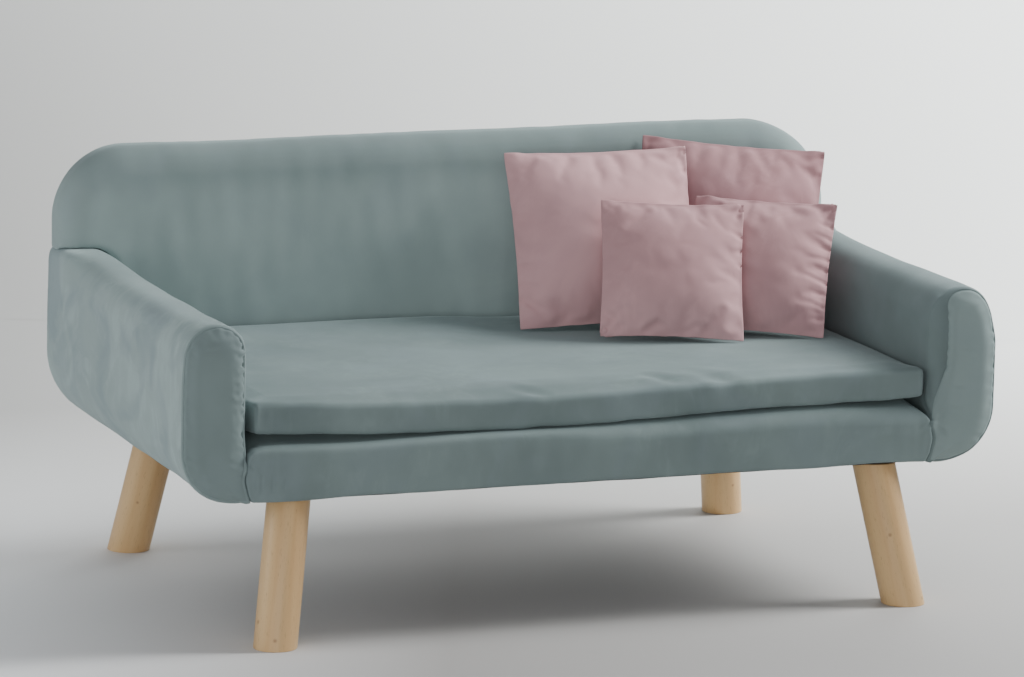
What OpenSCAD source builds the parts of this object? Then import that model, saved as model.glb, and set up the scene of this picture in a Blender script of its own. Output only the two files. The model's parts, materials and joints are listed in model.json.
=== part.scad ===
// Sofa bed for a dog: an upholstered timber frame on four splayed legs,
// a loose mattress between the arms and four loose scatter cushions in the right corner.
// The origin is on the floor in the middle of the footprint.
// X runs to the viewer's right, the open front looks to -Y, Z is up. Millimetres.

/* [Sofa body] */
// Width over both arms
sofa_w = 1000; // [900:5:1100]
// Depth from the front of the arms to the rear
sofa_d = 520; // [480:5:600]
// Clear height from the floor to the underside
leg_h = 165; // [130:5:200]
// Height of the upholstered base
base_h = 73; // [70:1:90]
// Radius of the padded edges of the base, beside the arms and along the front
base_edge_r = 22; // [14:1:24]
// Thickness of an arm
arm_t = 77; // [72:1:90]
// Height of the arm tops above the seat deck
arm_rise = 134; // [110:2:170]
// Radius where an arm's outer side turns under the base
arm_turn_r = 70; // [66:1:80]
// Radius of the seam edges round an arm's end faces
arm_edge_r = 9; // [5:1:12]
// Thickness of the backrest
back_t = 55; // [50:1:70]
// Height of the backrest above the seat deck
back_rise = 262; // [230:2:300]
// Radius of the backrest's top corners
back_corner_r = 100; // [90:5:140]
// How far each side of the backrest lies inside the arm's outer side
back_side_inset = 2; // [1:0.5:6]
// Radius of the backrest's padded edges
back_edge_r = 20; // [12:1:24]

/* [Upholstery layers] */
// Thickness of the velvet and its lining
cloth_t = 1.5; // [1:0.1:2]
// Thickness of the black dust cloth under the base
dust_t = 1; // [0.6:0.1:1.5]
// How far the base cover turns in under the base
hem_w = 20; // [12:1:20]
// How far the dust cloth stays back from the cover's edge
dust_margin = 6; // [4:1:10]
// Foam over the front and the rear of the base
apron_foam_t = 10; // [6:1:12]
// Foam round an arm
arm_foam_t = 9.3; // [7:0.1:11]
// Foam over an arm's front and rear ends
arm_end_foam_t = 8.3; // [6:0.1:12]
// Foam behind the back board
back_rear_foam_t = 8; // [5:0.5:10]
// Foam over the back board's top and sides
back_rim_foam_t = 12; // [8:1:20]

/* [Timber frame] */
// Height of the base rails
rail_h = 45; // [40:1:46]
// Width of the front and rear base rails
rail_w = 40; // [36:1:44]
// Width of the side and centre base rails
side_rail_w = 28; // [24:1:32]
// Thickness of the plywood seat deck
deck_t = 9; // [6:1:10]
// How far the deck stays back from the base frame's sides
deck_margin = 9; // [6:1:14]
// Leg of the triangular corner braces
brace_leg = 62; // [45:1:75]
// Height of the corner braces
brace_h = 30; // [20:1:36]
// Thickness of the plywood end formers in the arms
former_t = 12; // [9:1:15]
// Thickness of the bent hardboard round an arm's formers
wrap_t = 3; // [2:0.5:4]
// Width of the arm's top rail
arm_top_rail_w = 38; // [30:1:40]
// Height of the arm's top rail
arm_top_rail_h = 20; // [15:1:25]
// Width of the arm's bottom rail, which takes the arm bolts
arm_foot_rail_w = 28; // [25:1:30]
// Height of the arm's bottom rail
arm_foot_rail_h = 48; // [40:1:56]
// Height of the arm's bottom rail above the underside
arm_foot_rail_lift = 15; // [14:1:20]
// Thickness of the plywood back board
back_board_t = 12; // [9:1:15]
// Width of the backrest's bottom rail, which takes the back bolts
back_foot_rail_w = 28; // [25:1:28]
// Height of the backrest's bottom rail
back_foot_rail_h = 36; // [30:1:50]

/* [Legs] */
// Diameter of a round leg
leg_d = 50; // [40:1:54]
// How far a leg's top lies inside the arm's inner face
leg_inset = 59; // [50:1:110]
// How far a foot stands out sideways from its leg's top
leg_out_x = 27; // [10:1:35]
// How far a foot stands out to the front or the rear from its leg's top
leg_out_y = 37; // [10:1:42]

/* [Fasteners] */
// Thread diameter of the bolts
bolt_d = 8; // [6:1:8]
// Head diameter of the arm and back bolts
bolt_head_d = 16; // [14:1:18]
// Head height of the arm and back bolts
bolt_head_h = 5; // [4:0.5:6]
// How far a leg bolt is screwed into its leg
leg_bolt_grip = 36; // [25:1:45]
// Flange diameter of the tee nuts
nut_flange_d = 22; // [18:1:24]
// Flange thickness of the tee nuts
nut_flange_t = 1.5; // [1:0.1:2]
// Barrel diameter of the tee nuts
nut_barrel_d = 11; // [10:0.5:12]
// Length of the tee nuts over flange and barrel
nut_h = 11; // [9:1:14]
// Shank diameter of the deck screws
screw_d = 4; // [3:0.5:5]
// Head diameter of the deck screws
screw_head_d = 8; // [7:0.5:9]
// Length of the deck screws
screw_l = 32; // [25:1:38]

/* [Mattress] */
// Thickness at the crown
mattress_t = 41.5; // [34:0.5:60]
// Drop from the crown to the top edges
mattress_crown = 4; // [2:0.5:8]
// Gap between the mattress and each arm
mattress_side_gap = 5; // [2:0.5:12]
// How far the mattress's front edge lies behind the arms' fronts
mattress_front_gap = 8; // [4:1:40]
// Gap between the mattress and the backrest
mattress_back_gap = 3; // [1:0.5:10]
// Radius of the mattress's edges
mattress_edge_r = 7; // [4:1:10]
// Radius of the mattress's upright corners
mattress_corner_r = 14; // [10:1:30]

/* [Scatter cushions] */
// Side of the two large cushions, corner to corner
large_w = 228; // [200:2:250]
// Thickness of the large cushions at the crown
large_t = 84; // [60:2:100]
// Side of the two small cushions, corner to corner
small_w = 176; // [150:2:190]
// Thickness of the small cushions at the crown
small_t = 68; // [50:2:80]
// Width of the flat seam edge round a cushion's filling
seam_w = 5; // [4:0.5:8]
// Distance from the right arm to the middle of the large right cushion
large_right_from_arm = 102; // [98:1:130]

/* [Clearances] */
// Gap left round loose pieces where they rest on each other
rest_gap = 0.3; // [0.3:0.1:0.8]
// Gap between fitted pieces of the frame and the upholstery
fit_gap = 0.2; // [0.1:0.05:0.4]
// Added to the diameter of a hole that a bolt or a nut passes
hole_play = 0.6; // [0.4:0.1:1.2]

/* [Hidden] */

$fn = 48;

// Colours
velvet = "#7f908d";
rose = "#a88b8d";
beech = "#c9a87e";
pine = "#d8bf93";
plywood = "#c8ad80";
hardboard = "#7d6248";
foam = "#e6dfbd";
wadding = "#f0efec";
steel = "#a9adb1";
black_cloth = "#222426";

// Steps along the curves of the soft forms
edge_steps = 4;
turn_steps = 7;
arch_steps = 12;
corner_steps = 8;
small_corner_steps = 3;
crown_steps = 6;
cover_grid = 14;
filling_grid = 10;

// Overrun of every cut
over = 1;

// Levels
seat_z = leg_h + base_h;
arm_top_z = seat_z + arm_rise;
back_top_z = seat_z + back_rise;
base_z = leg_h + dust_t;
frame_z = base_z + cloth_t;
deck_z = frame_z + rail_h;
deck_top_z = deck_z + deck_t;

// Faces across the sofa
side_x = sofa_w / 2;
arm_x = side_x - arm_t;
base_x = arm_x - fit_gap;
frame_x = base_x - cloth_t - fit_gap;

// Faces from front to rear
front_y = -sofa_d / 2;
rear_y = sofa_d / 2;
back_y = rear_y - back_t;
frame_y = rear_y - cloth_t - apron_foam_t;
rail_inner_y = frame_y - rail_w;
rail_mid_y = frame_y - rail_w / 2;

// Arm section
arch_r = arm_t / 2;
arch_x = side_x - arch_r;
arch_z = arm_top_z - arch_r;
turn_x = side_x - arm_turn_r;
turn_z = leg_h + arm_turn_r;
arm_skin_in = cloth_t + fit_gap;
wrap_in = arm_skin_in + arm_foam_t;
former_in = wrap_in + wrap_t + fit_gap;
former_y = rear_y - arm_skin_in - arm_end_foam_t;
arm_rail_y = former_y - former_t;
foot_rail_x = arm_x + arm_skin_in;
foot_rail_x1 = foot_rail_x + arm_foot_rail_w;
foot_rail_z = leg_h + arm_foot_rail_lift;
foot_rail_z1 = foot_rail_z + arm_foot_rail_h;
arm_top_rail_drop_share = 0.3;
arm_top_rail_z = arch_z + (arch_r - former_in) * arm_top_rail_drop_share - arm_top_rail_h;

// Backrest
back_z = seat_z + rest_gap;
back_x = side_x - back_side_inset;
back_foot_r = 5;
back_foot_z = back_z - back_edge_r;
back_skin_in = cloth_t + fit_gap;
board_y1 = rear_y - back_skin_in - back_rear_foam_t;
board_y = board_y1 - back_board_t;
back_rail_y = board_y - back_foot_rail_w;
back_rail_z = back_z + back_skin_in;
back_rail_z1 = back_rail_z + back_foot_rail_h;
back_rail_x = frame_x - back_rim_foam_t;
board_arm_in = rest_gap + cloth_t + back_rim_foam_t / 2;
ledge_x = frame_x - base_edge_r;
ledge_y = back_y + cloth_t;
ledge_y1 = rear_y - base_edge_r - cloth_t;

// Base cover
base_corner_r = 8;

// Fastener places
bolt_hole_d = bolt_d + hole_play;
barrel_hole_d = nut_barrel_d + hole_play;
flange_hole_d = nut_flange_d + hole_play;
head_hole_d = bolt_head_d + hole_play;
leg_x = arm_x - leg_inset;
leg_y = rail_mid_y;
arm_bolt_z = (foot_rail_z + deck_z) / 2;
arm_bolt_y_share = 0.62;
arm_bolt_ys = [-rail_inner_y * arm_bolt_y_share, rail_inner_y * arm_bolt_y_share];
back_bolt_x_share = 0.6;
back_bolt_xs = [-frame_x * back_bolt_x_share, 0, frame_x * back_bolt_x_share];
back_bolt_y = back_rail_y + back_foot_rail_w / 2;
screw_x_shares = [-0.7, -0.36, 0.08, 0.36, 0.7];
screw_y_share = 0.55;

// Mattress
mattress_x = arm_x - mattress_side_gap;
mattress_y = front_y + mattress_front_gap;
mattress_y1 = back_y - mattress_back_gap;
mattress_z = seat_z + rest_gap;
mattress_top_z = mattress_z + mattress_t;
mattress_crown_run_share = 0.12;
mattress_crown_run = (mattress_y1 - mattress_y) * mattress_crown_run_share;

// Scatter cushions: turned by yaw about Z, leaned back by lean, tipped in their own plane by roll
crown_power_share = 0.72;
drawn_in_share = 0.045;
large_left_yaw = -12.6;
large_left_lean = 28;
large_left_roll = 2;
large_right_yaw = -20.4;
large_right_lean = 29;
large_right_roll = -4.6;
small_right_yaw = -30;
small_right_lean = 31;
small_right_roll = -1.5;
small_front_yaw = -18;
small_front_lean = 29;
small_front_roll = -1.5;
large_left_stack_share = 0.7;
large_left_along_share = -0.67;
small_right_stack_share = 0.949;
small_right_along_share = 0.15;
small_front_stack_share = 0.868;
small_front_along_share = 0.3;
cushion_z = mattress_top_z + rest_gap;
// The large right cushion's low corner lies where the mattress drops to its edge,
// and its rear corner lies in the rounding of the backrest's top edge
large_right_drop_share = 0.57;
large_right_let_in_share = 0.135;
large_right_at = [
    arm_x - large_right_from_arm,
    back_y - rest_gap - back_reach(large_w, large_right_yaw, large_right_lean)
        + back_edge_r * large_right_let_in_share,
    cushion_z + rest_height(large_w, large_right_lean, large_right_roll)
        - mattress_crown * large_right_drop_share,
];
large_left_at = in_front(
    large_right_at, large_right_yaw, large_right_lean,
    large_t * large_left_stack_share, large_w * large_left_along_share,
    cushion_z + rest_height(large_w, large_left_lean, large_left_roll)
);
small_right_at = in_front(
    large_right_at, large_right_yaw, large_right_lean,
    (large_t + small_t) / 2 * small_right_stack_share, large_w * small_right_along_share,
    cushion_z + rest_height(small_w, small_right_lean, small_right_roll)
);
small_front_at = in_front(
    large_left_at, large_left_yaw, large_left_lean,
    (large_t + small_t) / 2 * small_front_stack_share, large_w * small_front_along_share,
    cushion_z + rest_height(small_w, small_front_lean, small_front_roll)
);

// Height of a cushion's middle above what its lower edge rests on
function rest_height(w, lean, roll) = w / 2 * cos(lean) * (cos(roll) + abs(sin(roll)));

// How far a cushion's rearmost corner reaches behind its middle
function back_reach(w, yaw, lean) = w / 2 * (abs(sin(yaw)) + sin(lean) * cos(yaw));

// Middle of a cushion at height z that lies off the mid-plane of the cushion at `at`
function in_front(at, yaw, lean, off, along, z) =
    let (out = (off - (z - at.z) * sin(lean)) / cos(lean))
    [at.x + out * sin(yaw) + along * cos(yaw), at.y - out * cos(yaw) + along * sin(yaw), z];

// Points of an arc in a plane
function arc(c, r, a0, a1, n) =
    [for (i = [0 : n]) let (a = a0 + (a1 - a0) * i / n) [c.x + r * cos(a), c.y + r * sin(a)]];

// Rounded rectangle, counter-clockwise, with its own radius for the two upper corners
function rounded(x0, x1, y0, y1, r_low, r_up, n_low, n_up) = concat(
    arc([x1 - r_low, y0 + r_low], r_low, -90, 0, n_low),
    arc([x1 - r_up, y1 - r_up], r_up, 0, 90, n_up),
    arc([x0 + r_up, y1 - r_up], r_up, 90, 180, n_up),
    arc([x0 + r_low, y0 + r_low], r_low, 180, 270, n_low)
);

// Section of the right arm, drawn in by `in` on all sides
function arm_outline(in) = concat(
    arc([turn_x, turn_z], arm_turn_r - in, -acos((arm_x + in - turn_x) / (arm_turn_r - in)), 0, turn_steps),
    arc([arch_x, arch_z], arch_r - in, 0, 180, arch_steps)
);

// Outline of the backrest, drawn in by `in`
function back_outline(in) = rounded(
    -back_x + in, back_x - in, back_foot_z, back_top_z - in,
    back_foot_r, back_corner_r - in, small_corner_steps, corner_steps
);

// Steps round a padded edge of radius r: how far in and how far along
function edge_in(r, k, n) = r * (1 - sin(90 * k / n));
function edge_along(r, k, n) = r * (1 - cos(90 * k / n));

function xz(outline, y) = [for (p = outline) [p.x, y, p.y]];
function xy(outline, z) = [for (p = outline) [p.x, p.y, z]];
function middle(ring) = [
    for (axis = [0 : 2]) let (along = [for (p = ring) p[axis]]) (min(along) + max(along)) / 2
];

// Closed skin over a list of rings, which run counter-clockwise seen from the last one's side
module loft(rings) {
    n = len(rings[0]);
    last = len(rings) - 1;
    points = concat([for (ring = rings) each ring], [middle(rings[0]), middle(rings[last])]);
    first_middle = n * (last + 1);
    sides = [
        for (k = [0 : last - 1], j = [0 : n - 1])
            let (a = k * n + j, b = k * n + (j + 1) % n)
                each [[a + n, b, a], [a + n, b + n, b]]
    ];
    ends = [
        for (j = [0 : n - 1])
            let (i = (j + 1) % n)
                each [[first_middle, j, i], [first_middle + 1, last * n + i, last * n + j]]
    ];
    polyhedron(points = points, faces = concat(sides, ends), convexity = 6);
}

// Upright slab with a padded edge round both end faces, from the rear to the front
module padded_slab(outline_in, in, y0, y1, edge_r) {
    r = edge_r - in;
    rear = [for (k = [0 : edge_steps])
        xz(outline_in[k], y1 - in - edge_along(r, k, edge_steps))];
    front = [for (k = [edge_steps : -1 : 0])
        xz(outline_in[k], y0 + in + edge_along(r, k, edge_steps))];
    loft(concat(rear, front));
}

module arm_skin(in) {
    outlines = [for (k = [0 : edge_steps]) arm_outline(in + edge_in(arm_edge_r - in, k, edge_steps))];
    padded_slab(outlines, in, front_y, rear_y, arm_edge_r);
}

// The backrest's padded edge runs over the top and the sides, and its foot is flat
module back_skin(in) {
    outlines = [for (k = [0 : edge_steps]) back_outline(in + edge_in(back_edge_r - in, k, edge_steps))];
    difference() {
        padded_slab(outlines, in, back_y, rear_y, back_edge_r);
        block([-side_x, back_y - over, back_foot_z - over], [side_x, rear_y + over, back_z + in]);
    }
}

module base_skin(in) {
    x = base_x - in;
    y = rear_y - in;
    z0 = base_z + in;
    z1 = seat_z - in;
    r = base_edge_r - in;
    function ring(i, z) = xy(rounded(
        -x + i, x - i, -y + i, y - i,
        base_corner_r, base_corner_r, small_corner_steps, small_corner_steps
    ), z);
    top = [for (k = [edge_steps : -1 : 0])
        ring(edge_in(r, k, edge_steps), z1 - edge_along(r, k, edge_steps))];
    loft(concat([ring(0, z0)], top));
}

module mattress_skin(in) {
    x = mattress_x - in;
    y0 = mattress_y + in;
    y1 = mattress_y1 - in;
    z0 = mattress_z + in;
    edge_z = mattress_top_z - mattress_crown - in;
    r = mattress_edge_r - in;
    corner = mattress_corner_r - in;
    function ring(i, z) = xy(rounded(
        -x + i, x - i, y0 + i, y1 - i, corner, corner, small_corner_steps, small_corner_steps
    ), z);
    foot = [for (k = [0 : edge_steps])
        ring(edge_in(r, k, edge_steps), z0 + edge_along(r, k, edge_steps))];
    lip = [for (k = [edge_steps : -1 : 1])
        ring(edge_in(r, k, edge_steps), edge_z - edge_along(r, k, edge_steps))];
    crown = [for (k = [0 : crown_steps])
        ring(
            r + (mattress_crown_run - r) * k / crown_steps,
            edge_z + mattress_crown * sin(90 * k / crown_steps)
        )];
    loft(concat(foot, lip, crown));
}

// Scatter cushion standing in its own XZ plane: two crowned faces that meet at a knife seam,
// with sides that draw in between the corners
module pillow(w, t, n) {
    function u(i) = sin(90 * (2 * i / n - 1));
    function seam(a, b) = w / 2 * a * (1 - drawn_in_share * (1 - b * b));
    function swell(a, b) = t / 2 * pow((1 - a * a) * (1 - b * b), crown_power_share);
    function at(i, j, side) = [seam(u(i), u(j)), side * swell(u(i), u(j)), seam(u(j), u(i))];
    rear_first = (n + 1) * (n + 1);
    function front_index(i, j) = i * (n + 1) + j;
    function rear_index(i, j) =
        i == 0 || j == 0 || i == n || j == n
            ? front_index(i, j)
            : rear_first + (i - 1) * (n - 1) + j - 1;
    points = concat(
        [for (i = [0 : n], j = [0 : n]) at(i, j, i == 0 || j == 0 || i == n || j == n ? 0 : -1)],
        [for (i = [1 : n - 1], j = [1 : n - 1]) at(i, j, 1)]
    );
    front = [
        for (i = [0 : n - 1], j = [0 : n - 1])
            let (a = front_index(i, j), b = front_index(i + 1, j),
                 c = front_index(i + 1, j + 1), d = front_index(i, j + 1))
                each (i < n / 2) == (j < n / 2) ? [[c, b, a], [d, c, a]] : [[d, b, a], [d, c, b]]
    ];
    rear = [
        for (i = [0 : n - 1], j = [0 : n - 1])
            let (a = rear_index(i, j), b = rear_index(i + 1, j),
                 c = rear_index(i + 1, j + 1), d = rear_index(i, j + 1))
                each (i < n / 2) == (j < n / 2) ? [[a, b, c], [a, c, d]] : [[a, b, d], [b, c, d]]
    ];
    polyhedron(points = points, faces = concat(front, rear), convexity = 4);
}

module cushion_cover(w, t) {
    color(rose) difference() {
        pillow(w, t, cover_grid);
        pillow(w - 2 * seam_w, t - 2 * cloth_t, filling_grid);
    }
}

module cushion_filling(w, t) {
    color(wadding) pillow(w - 2 * seam_w - 2 * fit_gap, t - 2 * cloth_t - 2 * fit_gap, filling_grid);
}

module leaned(at, yaw, lean, roll) {
    translate(at) rotate([0, 0, yaw]) rotate([-lean, 0, 0]) rotate([0, -roll, 0]) children();
}

module at_large_left() {
    leaned(large_left_at, large_left_yaw, large_left_lean, large_left_roll) children();
}

module at_large_right() {
    leaned(large_right_at, large_right_yaw, large_right_lean, large_right_roll) children();
}

module at_small_right() {
    leaned(small_right_at, small_right_yaw, small_right_lean, small_right_roll) children();
}

module at_small_front() {
    leaned(small_front_at, small_front_yaw, small_front_lean, small_front_roll) children();
}

// Box between two corners
module block(a, b) {
    translate(a) cube(b - a);
}

// Round bar along X, Y or Z that starts at a point
module bar_x(at, d, l) { translate(at) rotate([0, 90, 0]) cylinder(d = d, h = l); }
module bar_z(at, d, l) { translate(at) cylinder(d = d, h = l); }

// Exact section of the right arm, drawn in by `in`, for the timber pieces and the cuts
module arm_section(in) {
    translate([arm_x + in, turn_z]) square([arm_t - 2 * in, arch_z - turn_z]);
    translate([arch_x, arch_z]) circle(r = arch_r - in);
    intersection() {
        translate([turn_x, turn_z]) circle(r = arm_turn_r - in);
        translate([arm_x + in, leg_h]) square([arm_t - 2 * in, arm_turn_r]);
    }
}

module arm_block(in, y0, y1) {
    translate([0, y1, 0]) rotate([90, 0, 0]) linear_extrude(y1 - y0) arm_section(in);
}

module both_arms_block(in, y0, y1) {
    for (side = [0, 1]) mirror([side, 0, 0]) arm_block(in, y0, y1);
}

// Left pieces are the right ones mirrored
module on_side(left) {
    mirror([left ? 1 : 0, 0, 0]) children();
}

// Pocket for a tee nut, sunk from a face that looks along +Z at the origin
module nut_pocket() {
    sink = nut_flange_t + 2 * fit_gap;
    translate([0, 0, -sink]) cylinder(d = flange_hole_d, h = sink + over);
    translate([0, 0, -nut_h - hole_play]) cylinder(d = barrel_hole_d, h = nut_h + hole_play);
}

// Tee nut with its flange's upper face on the origin's plane
module tee_nut() {
    difference() {
        union() {
            translate([0, 0, -nut_flange_t]) cylinder(d = nut_flange_d, h = nut_flange_t);
            translate([0, 0, -nut_h]) cylinder(d = nut_barrel_d, h = nut_h);
        }
        translate([0, 0, -nut_h - over]) cylinder(d = bolt_hole_d, h = nut_h + 2 * over);
    }
}

// Places of the four leg bolts
module at_legs() {
    for (sx = [-1, 1], sy = [-1, 1]) translate([sx * leg_x, sy * leg_y, 0]) children();
}

module deck_screw_places() {
    for (share = screw_x_shares, sy = [-1, 1])
        translate([share * frame_x, sy * (rail_mid_y - rail_w / 4), deck_top_z]) children();
    for (sx = [-1, 1], sy = [-1, 1])
        translate([sx * (frame_x - side_rail_w / 2), sy * rail_inner_y * screw_y_share, deck_top_z])
            children();
}

module screw_body(d, head_d, l) {
    translate([0, 0, -l]) cylinder(d = d, h = l);
    translate([0, 0, -(head_d - d) / 2]) cylinder(d1 = d, d2 = head_d, h = (head_d - d) / 2);
}

module deck_screw_holes() {
    deck_screw_places() screw_body(screw_d + fit_gap, screw_head_d + fit_gap, screw_l + fit_gap);
}

// Timber of the base
module long_rail(sy) {
    color(pine) difference() {
        block([-frame_x, sy > 0 ? rail_inner_y : -frame_y, frame_z],
              [frame_x, sy > 0 ? frame_y : -rail_inner_y, deck_z]);
        at_legs() {
            bar_z([0, 0, frame_z - over], bolt_hole_d, rail_h + 2 * over);
            translate([0, 0, deck_z]) nut_pocket();
        }
        if (sy > 0) back_bolt_holes(frame_z, deck_z);
        if (sy > 0)
            for (x = back_bolt_xs)
                bar_z([x, back_bolt_y, frame_z - over], head_hole_d, over + bolt_head_h + fit_gap);
        deck_screw_holes();
    }
}

module side_rail() {
    color(pine) difference() {
        block([frame_x - side_rail_w, -rail_inner_y, frame_z], [frame_x, rail_inner_y, deck_z]);
        arm_bolt_holes(frame_x - side_rail_w, frame_x);
        deck_screw_holes();
    }
}

module centre_rail() {
    color(pine) block([-side_rail_w / 2, -rail_inner_y, frame_z], [side_rail_w / 2, rail_inner_y, deck_z]);
}

module corner_brace(sx, sy) {
    x = frame_x - side_rail_w;
    color(pine) mirror([sx < 0 ? 1 : 0, 0, 0]) mirror([0, sy < 0 ? 1 : 0, 0])
        translate([0, 0, deck_z - brace_h]) linear_extrude(brace_h)
            polygon([[x, rail_inner_y], [x - brace_leg, rail_inner_y], [x, rail_inner_y - brace_leg]]);
}

module seat_deck() {
    color(plywood) difference() {
        block([deck_margin - frame_x, deck_margin / 2 - frame_y, deck_z],
              [frame_x - deck_margin, frame_y - deck_margin / 2, deck_top_z]);
        back_bolt_holes(deck_z, deck_top_z);
        deck_screw_holes();
    }
}

module deck_screws() {
    color(steel) deck_screw_places() screw_body(screw_d, screw_head_d, screw_l);
}

module back_ledge() {
    color(pine) difference() {
        block([-ledge_x, ledge_y, deck_top_z], [ledge_x, ledge_y1, seat_z - cloth_t - fit_gap]);
        back_bolt_holes(deck_top_z, seat_z);
    }
}

// Legs: round bars on a slant, cut level at the floor and at the underside.
// The front right one is drawn and the others are its mirror images.
module leg(sx, sy) {
    reach = sqrt(leg_out_x * leg_out_x + leg_out_y * leg_out_y);
    tilt = atan(reach / leg_h);
    turn = atan2(leg_out_y, -leg_out_x);
    slant = leg_h / cos(tilt);
    color(beech) mirror([sx < 0 ? 1 : 0, 0, 0]) mirror([0, sy > 0 ? 1 : 0, 0]) difference() {
        intersection() {
            translate([leg_x + leg_out_x, -leg_y - leg_out_y, 0])
                rotate([0, tilt, turn]) rotate([0, 0, 90]) bar_z([0, 0, -leg_d], leg_d, slant + 2 * leg_d);
            block([0, -sofa_d, 0], [sofa_w, 0, leg_h]);
        }
        bar_z([leg_x, -leg_y, leg_h - leg_bolt_grip - fit_gap], bolt_hole_d, leg_bolt_grip + over);
    }
}

module leg_bolts() {
    color(steel) at_legs()
        bar_z([0, 0, leg_h - leg_bolt_grip], bolt_d, leg_bolt_grip + deck_z - leg_h - nut_flange_t);
}

module leg_nuts() {
    color(steel) at_legs() translate([0, 0, deck_z - fit_gap]) tee_nut();
}

// Timber of an arm, drawn for the right one
module arm_former(sy) {
    y = sy > 0 ? arm_rail_y : -former_y;
    color(plywood) arm_block(former_in, y, y + former_t);
}

module arm_top_rail() {
    color(pine) block([arch_x - arm_top_rail_w / 2, -arm_rail_y, arm_top_rail_z],
                      [arch_x + arm_top_rail_w / 2, arm_rail_y, arm_top_rail_z + arm_top_rail_h]);
}

module arm_foot_rail() {
    color(pine) difference() {
        block([foot_rail_x, -arm_rail_y, foot_rail_z], [foot_rail_x1, arm_rail_y, foot_rail_z1]);
        arm_bolt_holes(foot_rail_x, foot_rail_x1);
        for (y = arm_bolt_ys)
            translate([foot_rail_x1, y, arm_bolt_z]) rotate([0, 90, 0]) nut_pocket();
    }
}

// Room for the foot rail inside the wrap and the foam
module foot_rail_room(y) {
    block([arm_x - over, -y, leg_h - over], [foot_rail_x1 + fit_gap, y, foot_rail_z1 + fit_gap]);
}

module arm_wrap() {
    color(hardboard) difference() {
        arm_block(wrap_in, -former_y, former_y);
        arm_block(wrap_in + wrap_t, -former_y - over, former_y + over);
        foot_rail_room(former_y + over);
    }
}

module arm_foam() {
    color(foam) difference() {
        arm_skin(arm_skin_in);
        arm_block(wrap_in - fit_gap, -former_y - fit_gap, former_y + fit_gap);
        foot_rail_room(former_y + fit_gap);
    }
}

module arm_cover() {
    color(velvet) difference() {
        arm_skin(0);
        arm_skin(cloth_t);
        arm_bolt_holes(arm_x, foot_rail_x);
    }
}

module arm_bolt_holes(x0, x1) {
    for (y = arm_bolt_ys) bar_x([x0 - over, y, arm_bolt_z], bolt_hole_d, x1 - x0 + 2 * over);
}

module arm_bolts() {
    head_x = frame_x - side_rail_w - bolt_head_h;
    color(steel) for (side = [0, 1]) mirror([side, 0, 0]) for (y = arm_bolt_ys) {
        bar_x([head_x, y, arm_bolt_z], bolt_head_d, bolt_head_h);
        bar_x([head_x, y, arm_bolt_z], bolt_d, foot_rail_x1 - nut_flange_t - head_x);
    }
}

module arm_nuts() {
    color(steel) for (side = [0, 1]) mirror([side, 0, 0]) for (y = arm_bolt_ys)
        translate([foot_rail_x1 - fit_gap, y, arm_bolt_z]) rotate([0, 90, 0]) tee_nut();
}

// Backrest
module back_bolt_holes(z0, z1) {
    for (x = back_bolt_xs) bar_z([x, back_bolt_y, z0 - over], bolt_hole_d, z1 - z0 + 2 * over);
}

module board_outline(in, z0) {
    r = back_corner_r - in;
    x = back_x - in;
    z1 = back_top_z - in;
    translate([-x, z0]) square([2 * x, z1 - r - z0]);
    translate([r - x, z0]) square([2 * (x - r), z1 - z0]);
    for (s = [-1, 1]) translate([s * (x - r), z1 - r]) circle(r = r);
}

module back_board() {
    color(plywood) difference() {
        translate([0, board_y1, 0]) rotate([90, 0, 0]) linear_extrude(back_board_t)
            board_outline(back_skin_in + back_rim_foam_t, back_rail_z);
        both_arms_block(-board_arm_in, board_y - over, board_y1 + over);
    }
}

module back_foot_rail() {
    color(pine) difference() {
        block([-back_rail_x, back_rail_y, back_rail_z], [back_rail_x, board_y, back_rail_z1]);
        back_bolt_holes(back_rail_z, back_rail_z1);
        for (x = back_bolt_xs) translate([x, back_bolt_y, back_rail_z1]) nut_pocket();
    }
}

module back_bolts() {
    color(steel) for (x = back_bolt_xs) {
        bar_z([x, back_bolt_y, frame_z], bolt_head_d, bolt_head_h);
        bar_z([x, back_bolt_y, frame_z], bolt_d, back_rail_z1 - nut_flange_t - frame_z);
    }
}

module back_nuts() {
    color(steel) for (x = back_bolt_xs) translate([x, back_bolt_y, back_rail_z1 - fit_gap]) tee_nut();
}

module back_foam() {
    color(foam) difference() {
        back_skin(back_skin_in);
        both_arms_block(-rest_gap - back_skin_in, back_y - over, rear_y + over);
        translate([0, board_y1 + fit_gap, 0]) rotate([90, 0, 0]) linear_extrude(back_board_t + fit_gap)
            board_outline(back_skin_in + back_rim_foam_t - fit_gap, back_rail_z - over);
        block([-back_rail_x - fit_gap, back_rail_y - fit_gap, back_rail_z - over],
              [back_rail_x + fit_gap, board_y + over, back_rail_z1 + fit_gap]);
    }
}

module back_cover() {
    color(velvet) difference() {
        back_skin(0);
        both_arms_block(-rest_gap, back_y - over, rear_y + over);
        difference() {
            back_skin(cloth_t);
            both_arms_block(-rest_gap - cloth_t, back_y - over, rear_y + over);
        }
        back_bolt_holes(back_z, back_rail_z);
    }
}

// Base upholstery
module seat_foam() {
    color(foam) difference() {
        base_skin(back_skin_in);
        block([-base_x, -frame_y, leg_h - over], [base_x, rear_y, deck_top_z + fit_gap]);
        block([-base_x, ledge_y - fit_gap, leg_h], [base_x, rear_y, seat_z]);
    }
}

module rear_foam() {
    color(foam) difference() {
        base_skin(back_skin_in);
        block([-base_x, front_y, leg_h - over], [base_x, frame_y, seat_z]);
        block([-base_x, front_y, deck_top_z], [base_x, rear_y, seat_z]);
    }
}

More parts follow.
